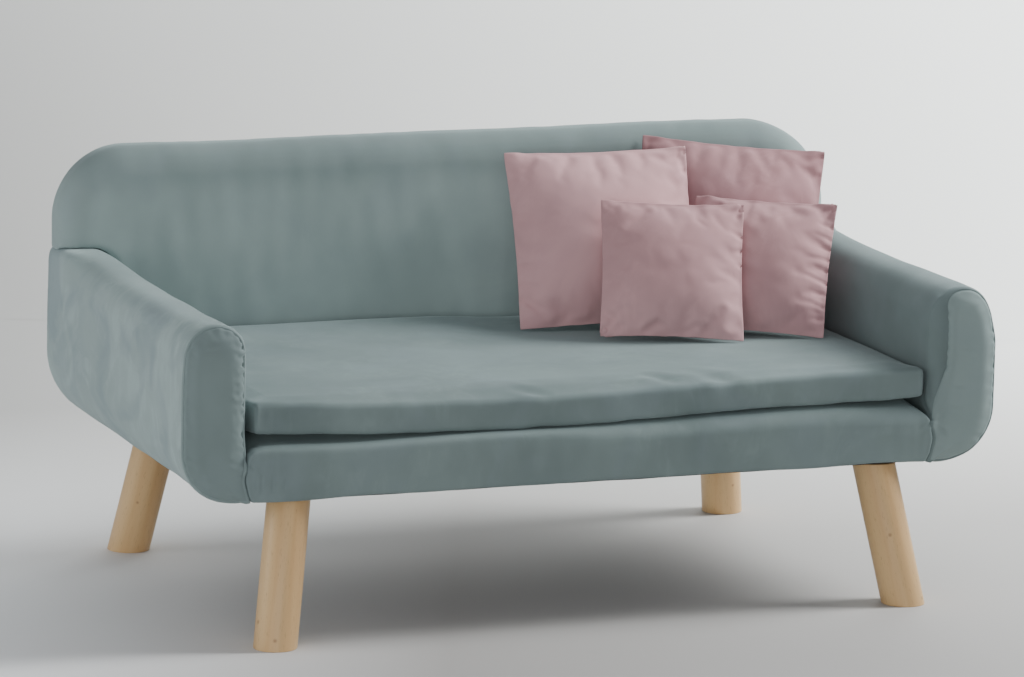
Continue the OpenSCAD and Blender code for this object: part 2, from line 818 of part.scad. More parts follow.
module base_cover() {
    x = base_x - hem_w;
    y = rear_y - hem_w;
    color(velvet) difference() {
        base_skin(0);
        base_skin(cloth_t);
        block([-x, -y, base_z - over], [x, y, frame_z + over]);
        for (side = [0, 1]) mirror([side, 0, 0]) arm_bolt_holes(frame_x, base_x);
        back_bolt_holes(seat_z - cloth_t, seat_z);
    }
}

module dust_cloth() {
    x = base_x - dust_margin;
    y = rear_y - dust_margin;
    color(black_cloth) difference() {
        block([-x, -y, leg_h], [x, y, base_z]);
        at_legs() bar_z([0, 0, leg_h - over], bolt_hole_d, dust_t + 2 * over);
    }
}

// Mattress
module mattress_foam() { color(foam) mattress_skin(cloth_t + fit_gap); }

module mattress_cover() {
    color(velvet) difference() {
        mattress_skin(0);
        mattress_skin(cloth_t);
    }
}

long_rail(-1);  // front_rail
long_rail(1);  // rear_rail
on_side(true) side_rail();  // left_rail
on_side(false) side_rail();  // right_rail
centre_rail();
corner_brace(-1, -1);  // front_left_brace
corner_brace(1, -1);  // front_right_brace
corner_brace(-1, 1);  // rear_left_brace
corner_brace(1, 1);  // rear_right_brace
seat_deck();
deck_screws();
back_ledge();
leg(-1, -1);  // front_left_leg
leg(1, -1);  // front_right_leg
leg(-1, 1);  // rear_left_leg
leg(1, 1);  // rear_right_leg
leg_bolts();
leg_nuts();
on_side(true) arm_former(-1);  // left_arm_front_former
on_side(true) arm_former(1);  // left_arm_rear_former
on_side(true) arm_top_rail();  // left_arm_top_rail
on_side(true) arm_foot_rail();  // left_arm_foot_rail
on_side(true) arm_wrap();  // left_arm_wrap
on_side(true) arm_foam();  // left_arm_foam
on_side(true) arm_cover();  // left_arm_cover
on_side(false) arm_former(-1);  // right_arm_front_former
on_side(false) arm_former(1);  // right_arm_rear_former
on_side(false) arm_top_rail();  // right_arm_top_rail
on_side(false) arm_foot_rail();  // right_arm_foot_rail
on_side(false) arm_wrap();  // right_arm_wrap
on_side(false) arm_foam();  // right_arm_foam
on_side(false) arm_cover();  // right_arm_cover
arm_bolts();
arm_nuts();
back_board();
back_foot_rail();
back_bolts();
back_nuts();
back_foam();
back_cover();
seat_foam();
rear_foam();
base_cover();
dust_cloth();
mattress_foam();
mattress_cover();
at_large_left() cushion_filling(large_w, large_t);  // large_left_filling
at_large_left() cushion_cover(large_w, large_t);  // large_left_cover
at_large_right() cushion_filling(large_w, large_t);  // large_right_filling
at_large_right() cushion_cover(large_w, large_t);  // large_right_cover
at_small_right() cushion_filling(small_w, small_t);  // small_right_filling
at_small_right() cushion_cover(small_w, small_t);  // small_right_cover
at_small_front() cushion_filling(small_w, small_t);  // small_front_filling
at_small_front() cushion_cover(small_w, small_t);  // small_front_cover
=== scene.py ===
"""Dog sofa bed: velvet upholstery on splayed legs, with a loose mattress and four scatter cushions."""
import json
import logging
import math
from dataclasses import dataclass
from enum import Enum
from typing import Iterable, Sequence

import bmesh
import bpy
import numpy as np
from mathutils import Matrix, Vector

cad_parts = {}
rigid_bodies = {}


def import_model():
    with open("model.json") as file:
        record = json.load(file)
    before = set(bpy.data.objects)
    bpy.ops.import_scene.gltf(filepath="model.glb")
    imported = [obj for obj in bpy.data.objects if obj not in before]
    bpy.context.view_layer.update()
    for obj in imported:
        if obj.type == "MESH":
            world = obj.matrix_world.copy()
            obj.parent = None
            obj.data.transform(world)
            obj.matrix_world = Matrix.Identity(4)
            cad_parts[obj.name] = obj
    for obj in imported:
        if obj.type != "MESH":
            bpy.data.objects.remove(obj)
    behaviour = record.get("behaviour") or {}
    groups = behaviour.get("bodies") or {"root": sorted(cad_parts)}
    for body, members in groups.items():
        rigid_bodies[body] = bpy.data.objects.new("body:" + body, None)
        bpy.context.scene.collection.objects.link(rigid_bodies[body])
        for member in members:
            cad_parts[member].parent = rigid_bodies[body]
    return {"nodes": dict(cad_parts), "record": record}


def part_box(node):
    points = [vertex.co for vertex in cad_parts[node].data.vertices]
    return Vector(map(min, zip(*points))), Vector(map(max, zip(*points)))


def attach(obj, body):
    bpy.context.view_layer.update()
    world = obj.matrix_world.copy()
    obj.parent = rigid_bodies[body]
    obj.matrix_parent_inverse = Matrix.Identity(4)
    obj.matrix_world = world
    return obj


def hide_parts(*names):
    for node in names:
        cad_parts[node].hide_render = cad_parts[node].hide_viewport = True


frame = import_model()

log = logging.getLogger("dog_sofa_bed")
Point = tuple[float, float, float]
Colour = tuple[float, float, float]
Piece = bpy.types.Object
SENSOR_MM = 36.0
# A length or a share below this counts as nothing
TINY = 1e-9
# The sofa's driving sizes in metres: half its width and depth, the arms, the heights, the pieces' play
BODY_X, BODY_Y = 0.5, 0.26
ARM_INNER_X, ARM_TOP_Z = 0.423, 0.372
UNDERSIDE_Z, SEAT_Z, BACK_Z = 0.165, 0.238, 0.5
PLAY = 0.0003


# Shader maths and finishes


class Signal:
    """A shader socket in an expression: its operators add Math nodes."""

    def __init__(self, finish: "Finish", socket: bpy.types.NodeSocket) -> None:
        """Keeps the finish that owns the node tree, and the socket.

        Args:
            finish: The finish whose tree takes the new nodes.
            socket: The output socket that this signal stands for.
        """
        self.finish = finish
        self.socket = socket

    def _math(self, operation: str, first: "Signal | float", second: "Signal | float") -> "Signal":
        """Adds one Math node.

        Args:
            operation: The Math node's operation.
            first: The upper input.
            second: The lower input.

        Returns:
            The node's result.
        """
        return self.finish.node("ShaderNodeMath", {"operation": operation}, {0: first, 1: second})

    def __add__(self, other: "Signal | float") -> "Signal":
        """Returns the sum."""
        return self._math("ADD", self, other)

    def __sub__(self, other: "Signal | float") -> "Signal":
        """Returns this less the other."""
        return self._math("SUBTRACT", self, other)

    def __rsub__(self, other: "Signal | float") -> "Signal":
        """Returns the other less this."""
        return self._math("SUBTRACT", other, self)

    def __mul__(self, other: "Signal | float") -> "Signal":
        """Returns the product."""
        return self._math("MULTIPLY", self, other)

    __radd__ = __add__
    __rmul__ = __mul__


class Space(Enum):
    """What a pattern's coordinates follow."""

    OBJECT = "object"
    GRAIN = "grain"


class Finish:
    """A node-based material with one Principled shader, built by its subclasses."""

    def __init__(self, name: str) -> None:
        """Makes the empty material.

        Args:
            name: The material's name.
        """
        self.material = bpy.data.materials.new(name)
        self.material.use_nodes = True
        self.tree = self.material.node_tree
        self.shader = self.tree.nodes["Principled BSDF"]

    def node(
        self, kind: str, settings: dict | None = None, inputs: dict | None = None, output: int | str = 0
    ) -> Signal:
        """Adds a node of any type.

        Args:
            kind: The node's type.
            settings: Its properties, and a ramp's stops under "stops".
            inputs: Values or signals for its sockets.
            output: The socket that is handed back.

        Returns:
            The chosen output as a signal.
        """
        made = self.tree.nodes.new(kind)
        for key, value in (settings or {}).items():
            if key == "stops":
                self._set_stops(made, value)
            else:
                setattr(made, key, value)
        for key, value in (inputs or {}).items():
            if isinstance(value, Signal):
                self.tree.links.new(value.socket, made.inputs[key])
            else:
                made.inputs[key].default_value = value
        return Signal(self, made.outputs[output])

    @staticmethod
    def _set_stops(ramp: bpy.types.Node, stops: Sequence[tuple[float, float]]) -> None:
        """Sets a ramp's stops.

        Args:
            ramp: The ramp's node.
            stops: Pairs of place and grey value, in rising order.
        """
        elements = ramp.color_ramp.elements
        while len(elements) < len(stops):
            elements.new(0.5)
        for element, (place, grey) in zip(elements, stops):
            element.position = place
            element.color = (grey, grey, grey, 1.0)

    def place(self, space: Space, scale: Point = (1.0, 1.0, 1.0)) -> Signal:
        """Gives pattern coordinates.

        Args:
            space: What the coordinates follow.
            scale: How much the pattern is squeezed along each axis.

        Returns:
            The coordinates.
        """
        if space is Space.OBJECT:
            base = self.node("ShaderNodeTexCoord", output="Object")
        else:
            base = self.node("ShaderNodeAttribute", {"attribute_name": space.value}, output="Vector")
        return self.node("ShaderNodeMapping", None, {"Vector": base, "Scale": scale})

    def noise(
        self, at: Signal, scale: float, detail: float = 3.0, rough: float = 0.5, twist: float = 0.0
    ) -> Signal:
        """Adds a noise texture.

        Args:
            at: The coordinates.
            scale: Repeats for each metre.
            detail: Octaves.
            rough: How strong the fine octaves are.
            twist: Distortion.

        Returns:
            The noise, about 0.3 to 0.7.
        """
        return self.node(
            "ShaderNodeTexNoise", None,
            {"Vector": at, "Scale": scale, "Detail": detail, "Roughness": rough, "Distortion": twist},
        )

    def ramp(self, value: Signal, *stops: tuple[float, float]) -> Signal:
        """Maps a value through grey stops."""
        return self.node("ShaderNodeValToRGB", {"stops": stops}, {"Fac": value})

    def mask(self, name: str) -> Signal:
        """Reads a number that a piece keeps at its points."""
        return self.node("ShaderNodeAttribute", {"attribute_name": name}, output="Fac")

    def blend(
        self, share: Signal, low: "Signal | Sequence[float]", high: "Signal | Sequence[float]"
    ) -> Signal:
        """Mixes two colours.

        Args:
            share: How much of the second.
            low: The first colour.
            high: The second colour.

        Returns:
            The mixed colour.
        """
        colours = [c if isinstance(c, Signal) else (*c, 1.0) for c in (low, high)]
        # Sockets 6 and 7 and output 2 are the Mix node's colours
        return self.node("ShaderNodeMix", {"data_type": "RGBA"}, {0: share, 6: colours[0], 7: colours[1]}, 2)

    def bump(self, height: Signal, strength: float, depth: float) -> None:
        """Feeds a height into the shader's normal.

        Args:
            height: The height signal.
            strength: How strong the bump is.
            depth: Its depth in metres.
        """
        made = self.node("ShaderNodeBump", None, {"Strength": strength, "Distance": depth, "Height": height})
        self.tree.links.new(made.socket, self.shader.inputs["Normal"])

    def feed(self, socket: str, signal: Signal) -> None:
        """Links a signal to one of the shader's sockets."""
        self.tree.links.new(signal.socket, self.shader.inputs[socket])

    def fix(self, **values: float | Sequence[float]) -> None:
        """Sets constant sockets; an underscore in a name stands for a space."""
        for key, value in values.items():
            self.shader.inputs[key.replace("_", " ")].default_value = value

    def dress(self, mesh: bpy.types.Mesh) -> None:
        """Makes this the mesh's only material."""
        mesh.materials.clear()
        mesh.materials.append(self.material)


@dataclass(frozen=True)
class VelvetTones:
    """The colours of one velvet: lying pile and standing pile, which also carry its painted shade and painted
    light, and the sheen at its edges.
    """

    name: str
    deep: Colour
    light: Colour
    cool: Colour
    sheen: Colour
    sheen_weight: float = 0.35


class Velvet(Finish):
    """Short-pile velvet: brushed patches and streaks, a soft sheen and a fine pile."""

    def __init__(self, tones: VelvetTones) -> None:
        """Builds the finish.

        Args:
            tones: The velvet's colours.
        """
        super().__init__(tones.name)
        here = self.place(Space.OBJECT)
        clouds = self.ramp(self.noise(here, 7.0, 4.0, 0.55), (0.32, 0.0), (0.68, 1.0))
        down = self.place(Space.OBJECT, (1.0, 1.0, 0.28))
        streaks = self.ramp(self.noise(down, 26.0, 5.0, 0.66, 2.2), (0.46, 0.0), (0.64, 1.0))
        patches = self.ramp(self.noise(here, 9.0, 3.0, 0.6, 1.6), (0.44, 0.0), (0.6, 1.0))
        blots = self.ramp(self.noise(here, 11.0, 2.0, 0.5, 1.2), (0.45, 0.0), (0.66, 1.0))
        brushed = self.mask("brushed")
        strokes = 0.42 * streaks * patches * brushed + 0.12 * patches * brushed
        # Painted light and shade: the numbers kept on each piece lighten or darken the tone for how the light
        # falls on it, besides the random mottling and the strokes
        nap = 0.2 * clouds + strokes + self.mask("nap") + 0.36
        ground = self.blend(nap, tones.deep, tones.light)
        cooled = self.blend(blots * (0.16 + 0.45 * brushed), ground, tones.cool)
        self.feed("Base Color", cooled)
        pile = self.noise(here, 1900.0, 2.0, 0.7)
        self.feed("Roughness", 0.78 + 0.16 * pile)
        weft = self.noise(self.place(Space.OBJECT, (1.0, 1.0, 0.35)), 520.0, 2.0, 0.6)
        self.bump(0.5 * pile + 0.5 * weft, 0.22, 0.0006)
        self.fix(Sheen_Weight=tones.sheen_weight, Sheen_Roughness=0.42, Sheen_Tint=(*tones.sheen, 1.0))
        self.fix(Specular_IOR_Level=0.18)


@dataclass(frozen=True)
class WoodTones:
    """The colours of one timber, and how closely its grain lies."""

    name: str
    early: Colour
    late: Colour
    fleck: Colour
    lines: float = 60.0
    gloss: float = 0.5
    coat: float = 0.0


class Timber(Finish):
    """Wood with long grain, flecks and a few small knots."""

    def __init__(
        self, tones: WoodTones, space: Space = Space.OBJECT, knots: Sequence[tuple[Point, float]] = ()
    ) -> None:
        """Builds the finish.

        Args:
            tones: The timber's colours.
            space: What the grain follows; its long axis is Z there.
            knots: Middle and radius of each knot, in the grain's coordinates.
        """
        super().__init__(tones.name)
        long_grain = self.place(space, (1.0, 1.0, 0.07))
        bands = self.ramp(self.noise(long_grain, tones.lines, 4.0, 0.6, 0.5), (0.34, 0.0), (0.66, 1.0))
        broad = self.ramp(self.noise(long_grain, tones.lines * 0.3, 2.0), (0.35, 0.0), (0.7, 1.0))
        specks = self.noise(self.place(space, (1.0, 1.0, 0.16)), 700.0, 2.0, 0.6)
        flecks = self.ramp(specks, (0.6, 0.0), (0.74, 1.0))
        ground = self.blend(0.55 * bands + 0.45 * broad, tones.early, tones.late)
        colour = self.blend(0.4 * flecks, ground, tones.fleck)
        where = self.place(space)
        for middle, radius in knots:
            gap = self.node("ShaderNodeVectorMath", {"operation": "DISTANCE"}, {0: where, 1: middle}, "Value")
            knot = self.ramp(gap * (1.0 / radius), (0.25, 1.0), (1.0, 0.0))
            colour = self.blend(0.75 * knot, colour, tones.fleck)
        self.feed("Base Color", colour)
        self.feed("Roughness", tones.gloss + 0.12 * bands)
        self.bump(0.6 * bands + 0.4 * flecks, 0.12, 0.0004)
        self.fix(Coat_Weight=tones.coat, Coat_Roughness=0.35, Specular_IOR_Level=0.4)


@dataclass(frozen=True)
class PlainTones:
    """A simple finish: two colours, roughness, metal and how coarse its grain is."""

    name: str
    low: Colour
    high: Colour
    rough: float
    metal: float
    grain: float
    depth: float


class Plain(Finish):
    """A grainy finish for foam, wadding, steel and the dust cloth."""

    def __init__(self, tones: PlainTones) -> None:
        """Builds the finish.

        Args:
            tones: Its colours and grain.
        """
        super().__init__(tones.name)
        grain = self.noise(self.place(Space.OBJECT), tones.grain, 3.0, 0.6)
        mottled = self.ramp(grain, (0.35, 0.0), (0.65, 1.0))
        self.feed("Base Color", self.blend(mottled, tones.low, tones.high))
        self.feed("Roughness", tones.rough + 0.15 * grain)
        self.bump(grain, 0.3, tones.depth)
        self.fix(Metallic=tones.metal)


SAGE = VelvetTones(
    "sage_velvet", (0.122, 0.16, 0.161), (0.345, 0.432, 0.425), (0.215, 0.268, 0.292), (0.74, 0.9, 0.92), 0.3
)
ROSE = VelvetTones(
    "rose_velvet", (0.3, 0.158, 0.17), (0.625, 0.375, 0.392), (0.44, 0.262, 0.288), (1.0, 0.76, 0.79), 0.27
)
BEECH = WoodTones("beech", (0.72, 0.495, 0.25), (0.6, 0.365, 0.165), (0.33, 0.17, 0.075), 55.0, 0.42, 0.12)
PINE = WoodTones("pine", (0.72, 0.53, 0.31), (0.55, 0.35, 0.17), (0.4, 0.22, 0.1), 45.0, 0.6)
PLYWOOD = WoodTones("plywood", (0.62, 0.46, 0.28), (0.5, 0.34, 0.19), (0.34, 0.2, 0.1), 28.0, 0.62)
HARDBOARD = PlainTones("hardboard", (0.1, 0.055, 0.03), (0.17, 0.1, 0.055), 0.7, 0.0, 900.0, 0.0003)
FOAM = PlainTones("foam", (0.66, 0.6, 0.42), (0.8, 0.75, 0.56), 0.85, 0.0, 1400.0, 0.0006)
WADDING = PlainTones("wadding", (0.8, 0.79, 0.76), (0.92, 0.91, 0.89), 0.9, 0.0, 260.0, 0.001)
ZINC = PlainTones("steel", (0.5, 0.52, 0.54), (0.66, 0.68, 0.7), 0.32, 1.0, 1200.0, 0.0001)
DUST_BLACK = PlainTones("black_cloth", (0.008, 0.008, 0.009), (0.03, 0.03, 0.034), 0.82, 0.0, 1100.0, 0.0003)
# The paper's floor tone, and its painted light and shade: lighter on the floor near the left, darker on the
# wall's left, lighter on its right
PAPER_FLOOR, FLOOR_PAINTED_LIGHT_NEAR_LEFT = (0.442, 0.426, 0.416), (0.98, 0.985, 1.0)
WALL_PAINTED_SHADE_LEFT, WALL_PAINTED_LIGHT_RIGHT = (0.47, 0.468, 0.462), (0.98, 1.0, 0.99)

# Painted light and shade: how far each part's tone is painted above or below the cloth's own tone, for how
# the light falls on it; partly the pile's lie
PAINTED_LIGHT_BACK, PAINTED_SHADE_BACK_TOP, PAINTED_LIGHT_BACK_FOOT = 0.2, -0.36, 0.14
PAINTED_SHADE_BASE = -0.18
PAINTED_SHADE_SEAT, PAINTED_SHADE_SEAT_FRONT = -0.27, -0.22
PAINTED_SHADE_ARM_FACE, PAINTED_LIGHT_LEFT_SIDE = -0.15, 0.34
PAINTED_SHADE_RIGHT_ARM, PAINTED_LIGHT_RIGHT_FACE = -0.3, 0.06
PAINTED_LIGHT_CUSHION_FOOT = 0.34
# How strongly a piece shows strokes of the hand
BRUSHED_BACK, BRUSHED_BASE, BRUSHED_SEAT, BRUSHED_CUSHION = 0.05, 0.2, 0.22, 0.3


class Backdrop(Finish):
    """Pale paper with painted light: lighter up the wall and towards the right, and on the floor near the
    left.
    """

    def __init__(self, right: Point, away: Point) -> None:
        """Builds the finish.

        Args:
            right: The direction across the picture.
            away: The level direction away from the camera.
        """
        super().__init__("pale_paper")
        here = self.place(Space.OBJECT)
        dot = {"operation": "DOT_PRODUCT"}
        across = self.node("ShaderNodeVectorMath", dot, {0: here, 1: right}, "Value")
        depth = self.node("ShaderNodeVectorMath", dot, {0: here, 1: away}, "Value")
        height = self.node("ShaderNodeSeparateXYZ", None, {0: here}, "Z")
        # Painted light: the wall runs from painted shade at its lower left to painted light at its upper
        # right, and the floor is painted lighter near the left
        painted_wall_light = self.ramp(across * 0.36 + height * 0.6 + 0.36, (0.1, 0.0), (0.9, 1.0))
        wall = self.blend(painted_wall_light, WALL_PAINTED_SHADE_LEFT, WALL_PAINTED_LIGHT_RIGHT)
        painted_floor_light = self.ramp(across * 0.6 + 0.5, (0.14, 1.0), (0.46, 0.0), (0.85, 0.12))
        low = self.blend(painted_floor_light, PAPER_FLOOR, FLOOR_PAINTED_LIGHT_NEAR_LEFT)
        behind = self.ramp(depth * 0.5 - across * 0.2, (0.06, 0.0), (0.6, 1.0))
        self.feed("Base Color", self.blend(behind, low, wall))
        grain = self.noise(here, 260.0, 2.0)
        self.feed("Roughness", 0.7 + 0.1 * grain)


# Soft shapes


class Taper(Enum):
    """How a fold's depth runs along it."""

    BOTH = "both"
    END = "end"
    EVEN = "even"


@dataclass(frozen=True)
class Fold:
    """A crease in the cloth, or a ridge where its depth is below zero."""

    path: tuple[Point, ...]
    depth: float
    width: float
    taper: Taper = Taper.BOTH
    shoulder: float = 0.45

    def lift(self, points: np.ndarray) -> np.ndarray:
        """Gives how far the fold lifts each point off the surface.

        Args:
            points: The surface's points, in metres.

        Returns:
            One height for each point, below zero in the crease.
        """
        stops = np.array(self.path, float)
        legs = np.linalg.norm(np.diff(stops, axis=0), axis=1)
        run = np.concatenate([[0.0], np.cumsum(legs)]) / legs.sum()
        best = np.full(len(points), np.inf)
        along = np.zeros(len(points))
        for a, b, r0, r1 in zip(stops[:-1], stops[1:], run[:-1], run[1:]):
            t = np.clip((points - a) @ (b - a) / ((b - a) @ (b - a)), 0.0, 1.0)
            gap = np.linalg.norm(points - (a + t[:, None] * (b - a)), axis=1)
            nearer = gap < best
            best = np.where(nearer, gap, best)
            along = np.where(nearer, r0 + t * (r1 - r0), along)
        if self.taper is Taper.BOTH:
            strength = np.sin(np.pi * np.clip(along, 0.0, 1.0)) ** 0.7
        elif self.taper is Taper.END:
            strength = (1.0 - along) ** 0.8
        else:
            strength = np.ones(len(points))
        groove = np.exp(-((best / self.width) ** 2))
        shoulders = np.exp(-(((best - 1.9 * self.width) / self.width) ** 2))
        return -self.depth * strength * (groove - self.shoulder * shoulders)


def on_plane(
    y: float, path: Sequence[tuple[float, float]], depth: float, width: float, taper: Taper = Taper.END,
    shoulder: float = 0.45,
) -> Fold:
    """Lays a fold on an upright plane across the sofa.

    Args:
        y: Where the plane lies.
        path: The fold's stops, as X and Z.
        depth: Its depth.
        width: Its width.
        taper: How its depth runs along it.
        shoulder: How high its edges swell, as a share of its depth.

    Returns:
        The fold.
    """
    return Fold(tuple((x, y, z) for x, z in path), depth, width, taper, shoulder)


def undulation(
    points: np.ndarray, wavelength: float, seed: int, squeeze: Point = (1.0, 1.0, 1.0)
) -> np.ndarray:
    """Smooth, seeded unevenness.

    Args:
        points: Where it is wanted, in metres.
        wavelength: The usual distance from crest to crest.
        seed: Picks the pattern.
        squeeze: Stretches the pattern along an axis where it is below 1.

    Returns:
        One value for each point, mostly between -1 and 1.
    """
    rng = np.random.default_rng(seed)
    waves = 16
    ways = rng.normal(size=(waves, 3))
    ways /= np.linalg.norm(ways, axis=1)[:, None]
    pace = 2.0 * np.pi / wavelength * rng.uniform(0.65, 1.45, waves)
    start = rng.uniform(0.0, 2.0 * np.pi, waves)
    return np.sin((points * np.array(squeeze)) @ (ways * pace[:, None]).T + start).sum(1) / math.sqrt(waves)


def step(low: float, high: float, value: float | np.ndarray) -> float | np.ndarray:
    """Returns a smooth step from 0 at low to 1 at high."""
    t = np.clip((value - low) / (high - low), 0.0, 1.0)
    return t * t * (3.0 - 2.0 * t)


def read(mesh: bpy.types.Mesh, what: str) -> np.ndarray:
    """Reads a vector at each point of a mesh.

    Args:
        mesh: The mesh.
        what: The vector's name, such as "co" or "normal".

    Returns:
        One row for each point.
    """
    flat = np.zeros(len(mesh.vertices) * 3)
    mesh.vertices.foreach_get(what, flat)
    return flat.reshape(-1, 3)


def deselect() -> None:
    """Deselects everything."""
    for other in bpy.context.view_layer.objects.selected[:]:
        other.select_set(False)


def apply_modifier(piece: Piece, kind: str, **settings: object) -> None:
    """Adds a modifier to a piece and applies it.

    Args:
        piece: The piece, which ends up as the only one selected.
        kind: The modifier's type.
        settings: Its properties.
    """
    deselect()
    piece.select_set(True)
    bpy.context.view_layer.objects.active = piece
    made = piece.modifiers.new(kind.title(), kind)
    for key, value in settings.items():
        setattr(made, key, value)
    bpy.ops.object.modifier_apply(modifier=made.name)


class Skin:
    """A soft surface's mesh object while it is shaped."""

    def __init__(self, name: str, points: np.ndarray, faces: Iterable[Sequence[int]]) -> None:
        """Makes the object.

        Args:
            name: The piece's name.
            points: Its points, in metres.
            faces: Its faces, as point numbers.
        """
        mesh = bpy.data.meshes.new(name)
        mesh.from_pydata(np.asarray(points, float).tolist(), [], [tuple(int(i) for i in f) for f in faces])
        mesh.update()
        self.piece: Piece = bpy.data.objects.new(name, mesh)
        bpy.context.scene.collection.objects.link(self.piece)

    @property
    def points(self) -> np.ndarray:
        """The points as an array."""
        return read(self.piece.data, "co")

    @points.setter
    def points(self, places: np.ndarray) -> None:
        """Moves the points."""
        self.piece.data.vertices.foreach_set("co", np.asarray(places, float).ravel())
        self.piece.data.update()

    @property
    def normals(self) -> np.ndarray:
        """The outward direction at each point."""
        return read(self.piece.data, "normal")

    def push(self, lift: np.ndarray) -> None:
        """Moves each point along its outward direction.

        Args:
            lift: How far, in metres.
        """
        self.points = self.points + self.normals * lift[:, None]

    def fold(self, folds: Iterable[Fold]) -> None:
        """Presses folds into the surface.

        Args:
            folds: The folds, whose depths add up where they meet.
        """
        lift = np.zeros(len(self.piece.data.vertices))
        places = self.points
        for one in folds:
            lift += one.lift(places)
        self.push(lift)

    def outward(self) -> None:
        """Turns every face outwards."""
        work = bmesh.new()
        work.from_mesh(self.piece.data)
        bmesh.ops.recalc_face_normals(work, faces=work.faces)
        if work.calc_volume(signed=True) < 0.0:
            bmesh.ops.reverse_faces(work, faces=work.faces)
        work.to_mesh(self.piece.data)
        work.free()

    def apply(self, kind: str, **settings: object) -> None:
        """Adds a modifier and applies it."""
        apply_modifier(self.piece, kind, **settings)

    def keep(self, name: str, values: float | np.ndarray) -> None:
        """Keeps a number at each point, or one number for all, for a finish to read."""
        layer = self.piece.data.attributes.new(name, "FLOAT", "POINT")
        layer.data.foreach_set("value", np.full(len(layer.data), values, np.float32))

    def stuff(
        self, pressure: float, frames: int, cap: float, mass: float = 0.3, stiff: float = 15.0,
        bend: float = 0.5, held: Sequence[int] = (), spare: float = 0.0,
    ) -> None:
        """Swells the skin with a cloth simulation, and keeps the result as its shape.

        Args:
            pressure: The pressure inside.
            frames: How many frames the cloth settles for.
            cap: The furthest that a point may move, in metres.
            mass: The cloth's mass at a point.
            stiff: Its stiffness in tension and compression.
            bend: Its stiffness in bending.
            held: Points that stay in place, such as a seam's.
            spare: How much longer the cloth is than the form, as a share.
        """
        before = self.points
        cloth = self.piece.modifiers.new("Stuffing", "CLOTH")
        settings = cloth.settings
        if held:
            group = self.piece.vertex_groups.new(name="held")
            group.add(list(held), 1.0, "REPLACE")
            settings.vertex_group_mass = group.name
        settings.shrink_min = -spare
        settings.quality = 5
        settings.mass = mass
        settings.tension_stiffness = settings.compression_stiffness = stiff
        settings.shear_stiffness = stiff / 3.0
        settings.bending_stiffness = bend
        settings.use_pressure = True
        settings.uniform_pressure_force = pressure
        settings.effector_weights.gravity = 0.0
        cloth.collision_settings.use_collision = False
        cloth.point_cache.frame_start = 1
        cloth.point_cache.frame_end = frames
        for number in range(1, frames + 1):
            bpy.context.scene.frame_set(number)
        settled = self.piece.evaluated_get(bpy.context.evaluated_depsgraph_get()).to_mesh()
        move = read(settled, "co") - before
        self.piece.modifiers.remove(cloth)
        self.piece.vertex_groups.clear()
        bpy.context.scene.frame_set(1)
        far = np.linalg.norm(move, axis=1)
        move *= (np.minimum(far, cap) / np.maximum(far, TINY))[:, None]
        self.points = before + move

    def finish(self, finish: Finish, slot: str, body: str, nodes: Sequence[str], fill: float | None) -> None:
        """Dresses the piece and hands it over.

        Args:
            finish: Its material.
            slot: The record's material slot; not used.
            body: The body that it rides on.
            nodes: The nodes that it stands for.
            fill: How tightly it is stuffed, or None for a piece that isn't padded; not used.
        """
        finish.dress(self.piece.data)
        self.piece.data.polygons.foreach_set("use_smooth", [True] * len(self.piece.data.polygons))
        self.piece.data.update()
        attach(self.piece, body)
        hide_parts(*nodes)
        log.info("%s: %d faces on %s", self.piece.name, len(self.piece.data.polygons), body)


def loft(rings: Sequence[np.ndarray], closed_ends: bool = True) -> tuple[np.ndarray, list[tuple[int, ...]]]:
    """Joins rings of points into a skin.

    Args:
        rings: Rings with as many points each.
        closed_ends: Whether the first and the last ring get a face.

    Returns:
        The points, and the faces as point numbers.
    """
    n = len(rings[0])
    faces: list[tuple[int, ...]] = []
    for k in range(len(rings) - 1):
        for j in range(n):
            a, b = k * n + j, k * n + (j + 1) % n
            faces.append((a, b, b + n, a + n))
    if closed_ends:
        last = (len(rings) - 1) * n
        faces.append(tuple(range(n))[::-1])
        faces.append(tuple(range(last, last + n)))
    return np.vstack(rings), faces


def spaced(low: float, high: float, fine: float, coarse: float, band: float) -> np.ndarray:
    """Places along a line that lie closer near both ends.

    Args:
        low: Where the line starts.
        high: Where it ends.
        fine: The spacing near the ends.
        coarse: The spacing in the middle.
        band: How far the fine spacing reaches in.

    Returns:
        The places in rising order.
    """
    ends = np.arange(0.0, band, fine)
    middle_count = max(2, round((high - low - 2.0 * band) / coarse))
    middle = np.linspace(low + band, high - band, middle_count + 1)
    return np.concatenate([low + ends, middle, (high - ends)[::-1]])


